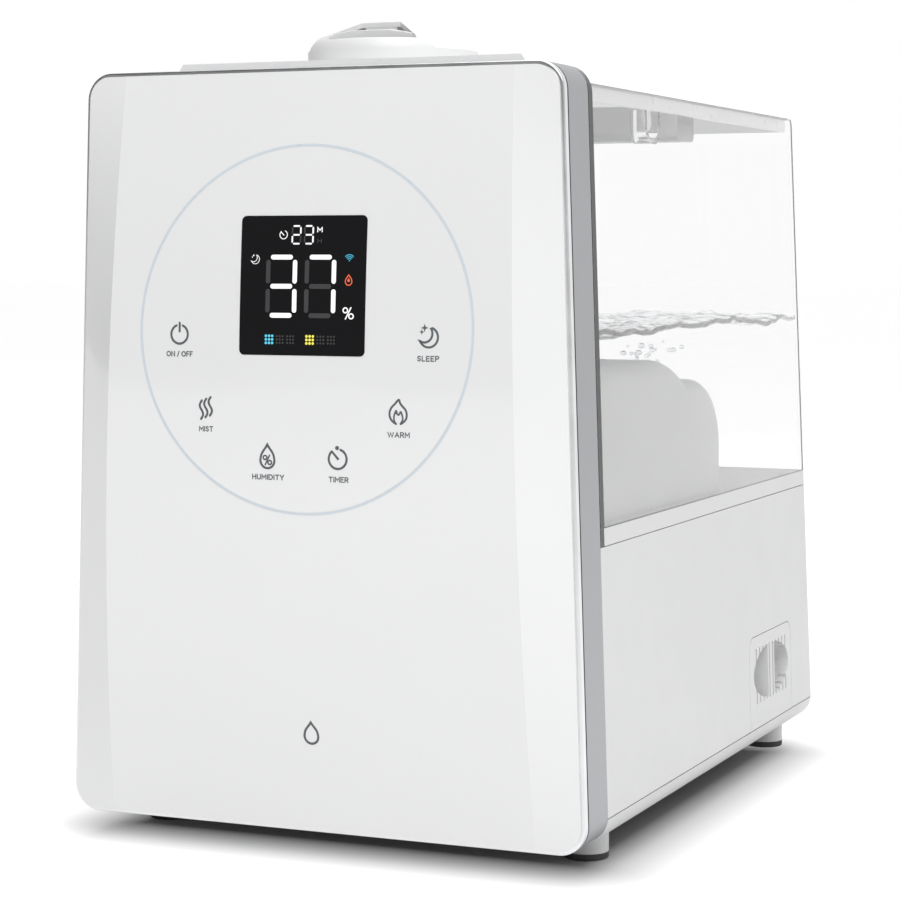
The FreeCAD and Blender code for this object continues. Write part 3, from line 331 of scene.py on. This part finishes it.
def loop(points, width):
    """A closed line of a given width."""
    return ("ring", offset_side(points, width / 2, True), offset_side(points, -width / 2, True))


def disc(cu, cv, radius, steps=20):
    """A filled circle."""
    return ("solid", arc(cu, cv, radius, 0, 360 - 360 / steps, steps - 1))


def sparkle(cu, cv, radius):
    """Four-pointed star with hollow sides."""
    points = []
    for i in range(8):
        turn = math.radians(45 * i)
        reach = radius if i % 2 == 0 else radius * STAR_WAIST
        points.append((cu + reach * math.cos(turn), cv + reach * math.sin(turn)))
    return ("solid", points)


def moved(shapes, du, dv, scale=1.0):
    """Shapes scaled about the origin and then shifted."""
    result = []
    for shape in shapes:
        rings = [[(u * scale + du, v * scale + dv) for u, v in ring] for ring in shape[1:]]
        result.append((shape[0], *rings))
    return result


def drop_outline(width, height):
    """A water drop: pointed at the top, round below; centred on the origin."""
    radius = width / 2
    tip = height / 2
    low = -height / 2 + radius
    base = arc(0, low, radius, 180 - DROP_SHOULDER, 360 + DROP_SHOULDER, 2 * DROP_STEPS)
    side_u, side_v = base[-1]
    side = []
    for i in range(1, DROP_STEPS):
        part = i / DROP_STEPS
        bow = math.sin(part * math.pi) * DROP_BOW * width
        side.append((side_u * (1 - part) + bow * (1 - part), side_v + (tip - side_v) * part))
    return base + side + [(0.0, tip)] + [(-u, v) for u, v in reversed(side)]


def percent_sign(size, width):
    """Two small rings and a slash; centred on the origin."""
    ring = size * 0.20
    shapes = [loop(arc(-size * 0.26, size * 0.24, ring, 0, 345, 23), width)]
    shapes.append(loop(arc(size * 0.26, -size * 0.24, ring, 0, 345, 23), width))
    shapes.append(stroke([(-size * 0.24, -size * 0.46), (size * 0.24, size * 0.46)], width))
    return shapes


def add_piece(name, mesh, material, body, smooth_shaded=True):
    """An object made from a bmesh, riding a body."""
    data = bpy.data.meshes.new(name)
    mesh.to_mesh(data)
    mesh.free()
    if smooth_shaded:
        for polygon in data.polygons:
            polygon.use_smooth = True
    data.materials.append(material)
    piece = bpy.data.objects.new(name, data)
    bpy.context.scene.collection.objects.link(piece)
    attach(piece, body)
    return piece


def plate(name, shapes, material, lift, thickness):
    """One thin raised piece on the bulged panel, made from flat shapes."""
    mesh = bmesh.new()
    for shape in shapes:
        rings = [raise_ring(mesh, ring, lift, thickness) for ring in shape[1:]]
        if shape[0] == "solid":
            front, back = rings[0]
            mesh.faces.new(front)
            mesh.faces.new(back[::-1])
            side_faces(mesh, front, back)
        else:
            (front, back), (front_in, back_in) = rings
            side_faces(mesh, front, back)
            side_faces(mesh, front_in[::-1], back_in[::-1])
            side_faces(mesh, front_in, front)
            side_faces(mesh, back, back_in)
    bmesh.ops.recalc_face_normals(mesh, faces=mesh.faces)
    add_piece(name, mesh, material, "base", smooth_shaded=False)


def raise_ring(mesh, ring, lift, thickness):
    """Front and back vertices of an outline laid on the panel."""
    front, back = [], []
    for u, v in ring:
        x, z = u * MM, v * MM
        y = panel_y(z) - lift * MM
        back.append(mesh.verts.new((x, y, z)))
        front.append(mesh.verts.new((x, y - thickness * MM, z)))
    return front, back


def side_faces(mesh, front, back):
    """Quads between two outlines."""
    count = len(front)
    for i in range(count):
        j = (i + 1) % count
        mesh.faces.new((front[i], front[j], back[j], back[i]))


def smooth(points):
    """A Catmull-Rom curve through the points."""
    result = []
    last = len(points) - 1
    for i in range(last):
        p0, p1 = points[max(i - 1, 0)], points[i]
        p2, p3 = points[i + 1], points[min(i + 2, last)]
        for k in range(CURVE_STEPS):
            t = k / CURVE_STEPS
            pair = []
            for a, b, c, d in zip(p0, p1, p2, p3):
                pair.append(0.5 * (2 * b + (c - a) * t + (2 * a - 5 * b + 4 * c - d) * t * t
                                   + (3 * b - a - 3 * c + d) * t ** 3))
            result.append(tuple(pair))
    result.append(points[-1])
    return result


# ---- plain capitals, as width and strokes on a unit capital height ------------------------------
LETTER_GAP = 0.34
BOWL = arc(0.38, 0.74, 0.26, 90, -90, 10)
CAPITALS = {
    "A": (0.86, [[(0, 0), (0.43, 1), (0.86, 0)], [(0.17, 0.34), (0.69, 0.34)]]),
    "D": (0.78, [[(0, 0), (0, 1), (0.3, 1)] + arc(0.3, 0.5, 0.48, 80, -80, 14, 1.04)
                 + [(0.3, 0), (0, 0)]]),
    "E": (0.58, [[(0.58, 1), (0, 1), (0, 0), (0.58, 0)], [(0, 0.52), (0.5, 0.52)]]),
    "F": (0.56, [[(0.56, 1), (0, 1), (0, 0)], [(0, 0.5), (0.48, 0.5)]]),
    "H": (0.72, [[(0, 0), (0, 1)], [(0.72, 0), (0.72, 1)], [(0, 0.52), (0.72, 0.52)]]),
    "I": (0.0, [[(0, 0), (0, 1)]]),
    "L": (0.52, [[(0, 1), (0, 0), (0.52, 0)]]),
    "M": (0.88, [[(0, 0), (0, 1), (0.44, 0.36), (0.88, 1), (0.88, 0)]]),
    "N": (0.76, [[(0, 0), (0, 1), (0.76, 0), (0.76, 1)]]),
    "O": (0.94, [arc(0.47, 0.5, 0.47, 90, 447, 28, 1.06)]),
    "P": (0.62, [[(0, 0), (0, 1)] + BOWL + [(0, 0.48)]]),
    "R": (0.66, [[(0, 0), (0, 1)] + BOWL + [(0, 0.48)], [(0.36, 0.46), (0.66, 0)]]),
    "S": (0.6, [smooth([(0.56, 0.84), (0.32, 1.0), (0.06, 0.86), (0.12, 0.6), (0.46, 0.44), (0.58, 0.2),
                        (0.32, 0.0), (0.02, 0.16)])]),
    "T": (0.7, [[(0, 1), (0.7, 1)], [(0.35, 0), (0.35, 1)]]),
    "U": (0.7, [[(0, 1), (0, 0.36)] + arc(0.35, 0.35, 0.35, 190, 350, 12) + [(0.7, 0.36), (0.7, 1)]]),
    "W": (1.2, [[(0, 1), (0.3, 0), (0.6, 0.9), (0.9, 0), (1.2, 1)]]),
    "Y": (0.76, [[(0, 1), (0.38, 0.48), (0.76, 1)], [(0.38, 0.48), (0.38, 0)]]),
    "/": (0.36, [[(0, -0.04), (0.36, 1.04)]]),
    " ": (0.1, []),
}


def word(text, centre, size, weight):
    """A line of capitals, centred, fitted to a width and a capital height."""
    total = sum(CAPITALS[letter][0] for letter in text) + LETTER_GAP * (len(text) - 1)
    wide = (size[0] - weight) / total
    tall = size[1] - weight
    left = centre[0] - total * wide / 2
    low = centre[1] - tall / 2
    shapes = []
    for letter in text:
        advance, lines = CAPITALS[letter]
        for line in lines:
            shapes.append(stroke([(left + u * wide, low + v * tall) for u, v in line], weight))
        left += (advance + LETTER_GAP) * wide
    return shapes


# ---- touch symbols ------------------------------------------------------------------------------
LINE = 0.78             # width of the symbols' lines, in millimetres
LETTER_LINE = 0.34
PRINT_LIFT = 0.0
PRINT_THICK = 0.06
EMBLEM_SIZE = (5.2, 7.4)
EMBLEM_LINE = 0.8
EMBLEM_PLACE = (0.0, 45.5)


def power_symbol():
    return [stroke(arc(0, -0.3, 3.2, 112, 428, 40), LINE), stroke([(0, 3.6), (0, 0.7)], LINE)]


def wave_line(u, v):
    """One rising, waving line around a place."""
    points = []
    steps = 16
    for i in range(steps + 1):
        part = i / steps
        swing = u + 0.72 * math.sin(part * 2 * math.pi)
        points.append((swing + 0.3 * (part - 0.5), v + 6.3 * (part - 0.5)))
    return stroke(points, LINE)


def mist_symbol():
    return [wave_line(-1.7, -0.6), wave_line(0.0, 0.0), wave_line(1.7, 0.6)]


def humidity_symbol():
    percent = moved(percent_sign(3.4, 0.55), 0.0, -1.2)
    return [loop(drop_outline(5.3, 8.0), LINE)] + percent


def timer_symbol():
    hand = ("solid", [(-2.35, 1.95), (-1.9, 2.45), (0.65, -0.2), (0.0, -0.75)])
    return [stroke(arc(0, -0.3, 3.3, 132, 431, 40), LINE), hand, disc(-0.2, 3.4, 0.72)]


def sleep_symbol():
    outer = arc(0.0, -0.3, 3.3, 66, -158, 30)
    inner = arc(-1.6, 0.9, 2.9, -128, 34, 24)
    return [loop(outer + inner, 0.74), sparkle(-1.5, 2.8, 1.35), sparkle(-2.5, 1.45, 0.9)]


def warm_symbol():
    outside = [(-0.75, -3.85), (-2.2, -2.9), (-3.0, -1.5), (-3.05, 0.1), (-2.3, 1.6), (-1.1, 2.8),
               (0.2, 4.1), (0.75, 2.9), (1.6, 1.9), (2.6, 0.9), (3.1, -0.5), (2.95, -2.0), (2.1, -3.1),
               (0.95, -3.85)]
    inside = [(-0.75, -3.85), (-1.4, -2.9), (-1.5, -1.6), (-1.2, -0.4), (-0.75, 0.45), (-0.25, -0.65),
              (0.3, -0.85), (0.95, 0.1), (1.5, -1.1), (1.65, -2.4), (0.95, -3.85)]
    return [stroke(smooth(outside), 0.72), stroke(smooth(inside), 0.6)]


# name, drawing, its place, caption, the caption's place and size; in millimetres across and up
SYMBOLS = (
    ("power", power_symbol, (-47.5, 181.0), "ON / OFF", (-47.4, 174.0), (10.2, 1.9)),
    ("mist", mist_symbol, (-37.1, 155.7), "MIST", (-37.0, 148.6), (5.4, 1.9)),
    ("humidity", humidity_symbol, (-13.6, 139.9), "HUMIDITY", (-13.4, 132.9), (12.1, 1.9)),
    ("timer", timer_symbol, (12.7, 140.1), "TIMER", (13.0, 132.9), (7.3, 1.9)),
    ("sleep", sleep_symbol, (45.5, 181.1), "SLEEP", (45.4, 173.8), (7.9, 1.9)),
    ("warm", warm_symbol, (34.8, 156.0), "WARM", (35.0, 148.5), (8.1, 1.9)),
)


def make_symbols():
    """The six captioned touch symbols, and the plain drop at the panel's foot."""
    for name, draw, place, label, label_place, label_size in SYMBOLS:
        shapes = moved(draw(), *place) + word(label, label_place, label_size, LETTER_LINE)
        plate("symbol_" + name, shapes, PRINT_GREY, PRINT_LIFT, PRINT_THICK)
    emblem = moved([loop(drop_outline(*EMBLEM_SIZE), EMBLEM_LINE)], *EMBLEM_PLACE)
    plate("emblem_drop", emblem, PRINT_GREY, PRINT_LIFT, PRINT_THICK)


# ---- display ------------------------------------------------------------------------------------
DISPLAY_LIFT = 0.13
DISPLAY_THICK = 0.05
WINDOW_LEFT = WINDOW_LOW[0] / MM
WINDOW_TOP = WINDOW_HIGH[2] / MM
BARS_LIT = {"2": "abged", "3": "abgcd", "7": "abc"}
# digit, across, down, width, height, line width, gap at the bars' ends
DIGITS = (
    ("3", 10.5, 13.9, 10.0, 19.5, 1.62, 1.7),
    ("7", 25.0, 13.9, 10.0, 19.5, 1.62, 1.7),
    ("2", 19.2, 3.5, 3.1, 5.9, 0.55, 0.6),
    ("3", 23.8, 3.5, 3.1, 5.9, 0.55, 0.6),
)
UNIT_COLUMN = 29.4              # how far across the unit letters sit
DOT_ROW = 41.5                  # how far down the dots sit
LIT_DOTS = (1.18, 0.47)         # pitch and radius
UNLIT_DOTS = (1.12, 0.36)
UNLIT_COLUMNS = (15.3, 19.2, 30.5, 34.4)
CYAN_COLUMN, YELLOW_COLUMN = 11.3, 26.5


def on_window(shapes, across, down, scale=1.0):
    """Shapes placed by millimetres from the window's upper left corner."""
    return moved(shapes, WINDOW_LEFT + across, WINDOW_TOP - down, scale)


def digit(lit, width, height, line, gap):
    """Seven bars of a digit, split into lit and unlit shapes; the origin is its upper left corner."""
    half = height / 2
    bars = {
        "a": ((gap, 0), (width - gap, 0)), "g": ((gap, -half), (width - gap, -half)),
        "d": ((gap, -height), (width - gap, -height)),
        "f": ((0, -gap), (0, -half + gap)), "b": ((width, -gap), (width, -half + gap)),
        "e": ((0, -half - gap), (0, -height + gap)),
        "c": ((width, -half - gap), (width, -height + gap)),
    }
    on, off = [], []
    for name, ends in bars.items():
        (on if name in lit else off).append(stroke(list(ends), line))
    return on, off


def dots(pitch, radius):
    """Three rows of three dots."""
    shapes = []
    for row in range(3):
        for column in range(3):
            shapes.append(disc((column - 1) * pitch, (row - 1) * pitch, radius, 12))
    return shapes


def small_timer():
    hand = stroke([(-0.9, 0.85), (0.1, -0.1)], 0.3)
    return [stroke(arc(0, 0, 1.4, 130, 425, 30), 0.27), hand]


def small_moon():
    outer = arc(0.0, 0.0, 1.55, 66, -158, 20)
    inner = arc(-0.72, 0.55, 1.42, -128, 34, 16)
    return [loop(outer + inner, 0.2), sparkle(-0.65, 1.3, 0.45), sparkle(-1.15, 0.7, 0.3)]


def wifi_symbol():
    """A dot under three arcs."""
    shapes = [disc(0, -1.15, 0.26, 12)]
    for radius in (0.85, 1.6, 2.35):
        shapes.append(stroke(arc(0, -1.15, radius, 45, 135, 14), 0.38))
    return shapes


def display_plate(name, shapes, material):
    """One raised piece on the display's window."""
    plate(name, shapes, material, DISPLAY_LIFT, DISPLAY_THICK)


def make_display():
    """The lit and unlit elements of the display."""
    white, grey = [], []
    for text, across, down, width, height, line, gap in DIGITS:
        on, off = digit(BARS_LIT[text], width, height, line, gap)
        white += on_window(on, across, down)
        grey += on_window(off, across, down)
    white += on_window(small_timer(), 15.9, 6.4)
    white += on_window(small_moon(), 5.5, 14.6)
    white += on_window(percent_sign(4.1, 0.42), 40.6, 32.5)
    white += word("M", (WINDOW_LEFT + UNIT_COLUMN, WINDOW_TOP - 4.75), (2.0, 1.8), 0.36)
    grey += word("H", (WINDOW_LEFT + UNIT_COLUMN, WINDOW_TOP - 8.5), (1.6, 1.6), 0.26)
    for across in UNLIT_COLUMNS:
        grey += on_window(dots(*UNLIT_DOTS), across, DOT_ROW)
    display_plate("display_lit_white", white, LIT_WHITE)
    display_plate("display_unlit", grey, UNLIT)
    display_plate("display_lit_cyan", on_window(dots(*LIT_DOTS), CYAN_COLUMN, DOT_ROW), LIT_CYAN)
    display_plate("display_lit_yellow", on_window(dots(*LIT_DOTS), YELLOW_COLUMN, DOT_ROW), LIT_YELLOW)
    display_plate("display_wifi", on_window(wifi_symbol(), 40.6, 14.1, 0.85), LIT_BLUE)
    flame = [loop(drop_outline(2.4, 3.4), 0.34), ("solid", drop_outline(0.9, 1.3))]
    display_plate("display_flame", on_window(flame, 40.5, 21.5), LIT_ORANGE)


# ---- water --------------------------------------------------------------------------------------
WATER_Z = 182.0 * MM
WALL_INSIDE = 3.4 * MM          # from the outside of the tank to the water's edge
TANK_HALF_AT_FOOT = 97.5 * MM   # half width of the body at FOOT, which narrows upwards
FOOT = 10.0 * MM
SIDE_LEAN = 8.95 / 260.7        # how far the sides and the back lean in, per height
BACK_LEAN = 10.3 / 260.7
PLATE_AND_WALL = 7.4 * MM       # from the front of the tank to the water's front edge
LAYER = 1.6 * MM
WATER_GRID = (100, 130)
WAVE_SCALE = (28, 22)           # noise per metre across and deep
WAVE_SLICE = 0.3
WAVE_FALL = 1.0
# height in millimetres, scale, lacunarity and octaves of the swell, the chop and the froth
WAVES = ((2.6, 1.0, 2.0, 4), (1.3, 3.1, 2.1, 3), (0.5, 9.0, 2.1, 2))
BUBBLE_SEED = 7
BUBBLE_COUNT = 22
BUBBLE_RADIUS = (0.45, 1.5)     # least and most, in millimetres
BUBBLE_X = (0.070, 0.083)
BUBBLE_Y = (0.098, 0.018)       # mean and spread, from the tank's front
BUBBLE_DEPTH = (6.0, 15.0)      # least and most, in millimetres
BUBBLE_LUMPS = 1.3
BUBBLE_BEND = 0.12
BUBBLE_FLATNESS = 0.82


def wave_height(x, y):
    """Height of the water's surface at a place."""
    spot = Vector((x * WAVE_SCALE[0], y * WAVE_SCALE[1], WAVE_SLICE))
    rise = 0.0
    for height, scale, lacunarity, octaves in WAVES:
        rise += height * noise.fractal(spot * scale, WAVE_FALL, lacunarity, octaves)
    return WATER_Z + rise * MM


def make_water():
    """The water's wavy surface layer in the tank."""
    low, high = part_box("tank_shell")
    half = TANK_HALF_AT_FOOT - (WATER_Z - FOOT) * SIDE_LEAN - WALL_INSIDE
    front = low[1] + PLATE_AND_WALL
    back = high[1] - (WATER_Z - low[2]) * BACK_LEAN - WALL_INSIDE
    mesh = bmesh.new()
    columns, rows = WATER_GRID
    grid = []
    for i in range(columns + 1):
        x = -half + 2 * half * i / columns
        line = []
        for j in range(rows + 1):
            y = front + (back - front) * j / rows
            line.append(mesh.verts.new((x, y, wave_height(x, y))))
        grid.append(line)
    for i in range(columns):
        for j in range(rows):
            mesh.faces.new((grid[i][j], grid[i + 1][j], grid[i + 1][j + 1], grid[i][j + 1]))
    piece = add_piece("water_surface", mesh, WATER, "tank")
    thick = piece.modifiers.new("layer", "SOLIDIFY")
    thick.thickness = LAYER
    thick.offset = -1


def make_bubbles():
    """Air bubbles under the stirred part of the surface."""
    low = Vector(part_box("tank_shell")[0])
    dice = random.Random(BUBBLE_SEED)
    mesh = bmesh.new()
    for i in range(BUBBLE_COUNT):
        radius = dice.uniform(*BUBBLE_RADIUS) * MM
        x = dice.uniform(*BUBBLE_X)
        y = low[1] + dice.gauss(*BUBBLE_Y)
        z = WATER_Z - dice.uniform(*BUBBLE_DEPTH) * MM
        lump = bmesh.ops.create_icosphere(mesh, subdivisions=2, radius=radius)["verts"]
        for vertex in lump:
            bump = noise.noise(vertex.co / radius * BUBBLE_LUMPS + Vector((i, 0, 0)))
            bend = 1 + BUBBLE_BEND * bump
            shaped = Vector((vertex.co.x * bend, vertex.co.y * bend, vertex.co.z * BUBBLE_FLATNESS))
            vertex.co = Vector((x, y, z)) + shaped
    add_piece("water_bubbles", mesh, WATER, "tank")


# ---- scent pad ----------------------------------------------------------------------------------
PAD_CUTS = 15
PAD_SOFT, PAD_PINCH = 0.10, 0.06        # how far the faces and the edges fall in
PAD_LUMPS, PAD_LUMP = 3.0, 0.02         # scale and height of the unevenness
PAD_WIDE, PAD_THICK = 0.985, 0.96       # parts of the CAD block's size


def make_scent_pad():
    """Felted pad: a soft block with rounded, slightly crowned faces."""
    low, high = (Vector(corner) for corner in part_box("aroma_pad"))
    mesh = bmesh.new()
    bmesh.ops.create_cube(mesh, size=1.0)
    bmesh.ops.subdivide_edges(mesh, edges=mesh.edges[:], cuts=PAD_CUTS, use_grid_fill=True)
    centre = (low + high) / 2
    size = high - low
    for vertex in mesh.verts:
        u, v, w = vertex.co * 2
        soft = 1 - PAD_SOFT * (abs(u) ** 6 + abs(v) ** 6) * abs(w) ** 2
        pinch = 1 - PAD_PINCH * abs(w) ** 4
        lump = noise.noise(Vector((u, v, w)) * PAD_LUMPS) * PAD_LUMP
        vertex.co = Vector((centre.x + u * pinch * size.x / 2 * PAD_WIDE,
                            centre.y + v * pinch * size.y / 2 * PAD_WIDE,
                            centre.z + w * (soft + lump) * size.z / 2 * PAD_THICK))
    piece = add_piece("scent_pad_felt", mesh, MATERIALS["scent_pad"], "drawer")
    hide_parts("aroma_pad")


# ---- stage, light and camera --------------------------------------------------------------------
FLOOR_SIZE = 30.0
FLOOR_SHADES = ((0.29, 0.29, 0.29), (0.31, 0.31, 0.31))
FLOOR_ROUGHNESS = 0.8
FLOOR_SHINE = 0.1
# painted light: the floor's glow away from the object; with no glow over the footprint, the floor keeps
# a painted shadow there
FLOOR_PAINTED_LIGHT = 0.80
GLOW_FROM, GLOW_TO = 0.0, 0.035         # distances from the footprint between which the glow rises
FOOTPRINT = (0.085, 0.108, 0.0)         # half size of the box the glow keeps away from; under and close around it the floor keeps a painted shadow
# direction, shade away from it, shade towards it, and the cosines between which the sky changes
SKY_SHADES = (
    ((-0.819, -0.574, 0.0), 1.0, 0.05, (0.0, 0.55)),
    ((0.0, 1.0, 0.0), 0.40, 1.0, (-0.25, 0.2)),
)
# name, place, target, size and watts
LIGHTS = (
    ("key", (0.60, -1.5, 1.5), (0, 0, 0.22), (1.6, 1.2), 27.0),
    ("top", (0.0, 0.0, 2.0), (0, 0, 0), (1.2, 1.2), 18.0),
)
LENS = 101.49
SENSOR_WIDTH = 36.0
CAMERA_PLACE = (0.378714, -0.909252, 0.207894)
CAMERA_TURN = (85.593, 0.0, 23.136)     # degrees about X, Y and Z


def make_stage():
    """A dark grey floor with painted light: a glow brightens it away from the object so that it melts
    into the background, and its lack leaves a painted shadow under and close around the object, on top
    of the real shadow.
    """
    bpy.ops.mesh.primitive_plane_add(size=FLOOR_SIZE, location=(0, 0, 0))
    floor = bpy.context.object
    floor.name = "floor"
    material, nodes, links, shader = new_material("floor_white")
    faint = noise_node(nodes, links, 3.0, 2.0)
    links.new(ramp(nodes, links, faint.outputs["Fac"], *FLOOR_SHADES), shader.inputs["Base Color"])
    shader.inputs["Roughness"].default_value = FLOOR_ROUGHNESS
    shader.inputs["Specular IOR Level"].default_value = FLOOR_SHINE
    shader.inputs["Emission Color"].default_value = WHITE
    source = nodes.new("ShaderNodeTexCoord").outputs["Object"]
    steps = (("ABSOLUTE", None), ("SUBTRACT", FOOTPRINT), ("MAXIMUM", (0.0, 0.0, 0.0)))
    for operation, amount in steps:
        step = nodes.new("ShaderNodeVectorMath")
        step.operation = operation
        links.new(source, step.inputs[0])
        if amount:
            step.inputs[1].default_value = amount
        source = step.outputs["Vector"]
    reach = nodes.new("ShaderNodeVectorMath")
    reach.operation = "LENGTH"
    links.new(source, reach.inputs[0])
    # painted light on the floor that rises with the distance from the footprint, and painted shadow
    # where it is missing
    glow = nodes.new("ShaderNodeMapRange")
    glow.inputs["From Min"].default_value = GLOW_FROM
    glow.inputs["From Max"].default_value = GLOW_TO
    glow.inputs["To Min"].default_value = 0.0
    glow.inputs["To Max"].default_value = FLOOR_PAINTED_LIGHT
    links.new(reach.outputs["Value"], glow.inputs["Value"])
    links.new(glow.outputs["Result"], shader.inputs["Emission Strength"])
    floor.data.materials.append(material)


def area_light(name, place, target, size, power):
    """A rectangular light, aimed at a target."""
    light = bpy.data.lights.new(name, "AREA")
    light.shape = "RECTANGLE"
    light.size, light.size_y = size
    light.energy = power
    holder = bpy.data.objects.new(name, light)
    bpy.context.scene.collection.objects.link(holder)
    holder.location = place
    aim = Vector(target) - Vector(place)
    holder.rotation_euler = aim.to_track_quat("-Z", "Y").to_euler()


def make_lights():
    """A white sky that is darker at the front and the front left, and the two area lights."""
    world = bpy.data.worlds.new("studio")
    bpy.context.scene.world = world
    world.use_nodes = True
    nodes, links = world.node_tree.nodes, world.node_tree.links
    sky = nodes["Background"]
    direction = nodes.new("ShaderNodeTexCoord").outputs["Generated"]
    shades = []
    for axis, away, towards, limits in SKY_SHADES:
        aligned = nodes.new("ShaderNodeVectorMath")
        aligned.operation = "DOT_PRODUCT"
        aligned.inputs[1].default_value = axis
        links.new(direction, aligned.inputs[0])
        shades.append(ramp(nodes, links, aligned.outputs["Value"], away, towards, limits))
    both = nodes.new("ShaderNodeVectorMath")
    both.operation = "MULTIPLY"
    links.new(shades[0], both.inputs[0])
    links.new(shades[1], both.inputs[1])
    links.new(both.outputs["Vector"], sky.inputs["Color"])
    sky.inputs["Strength"].default_value = 1.0
    for light in LIGHTS:
        area_light(*light)


def make_camera():
    """The camera, low at the object's front right."""
    camera = bpy.data.cameras.new("camera")
    camera.lens = LENS
    camera.sensor_width = SENSOR_WIDTH
    holder = bpy.data.objects.new("camera", camera)
    bpy.context.scene.collection.objects.link(holder)
    holder.location = CAMERA_PLACE
    holder.rotation_euler = [math.radians(turn) for turn in CAMERA_TURN]
    bpy.context.scene.camera = holder
    bpy.context.scene.view_settings.view_transform = "Standard"


make_symbols()
make_display()
make_water()
make_bubbles()
make_scent_pad()
make_stage()
make_lights()
make_camera()
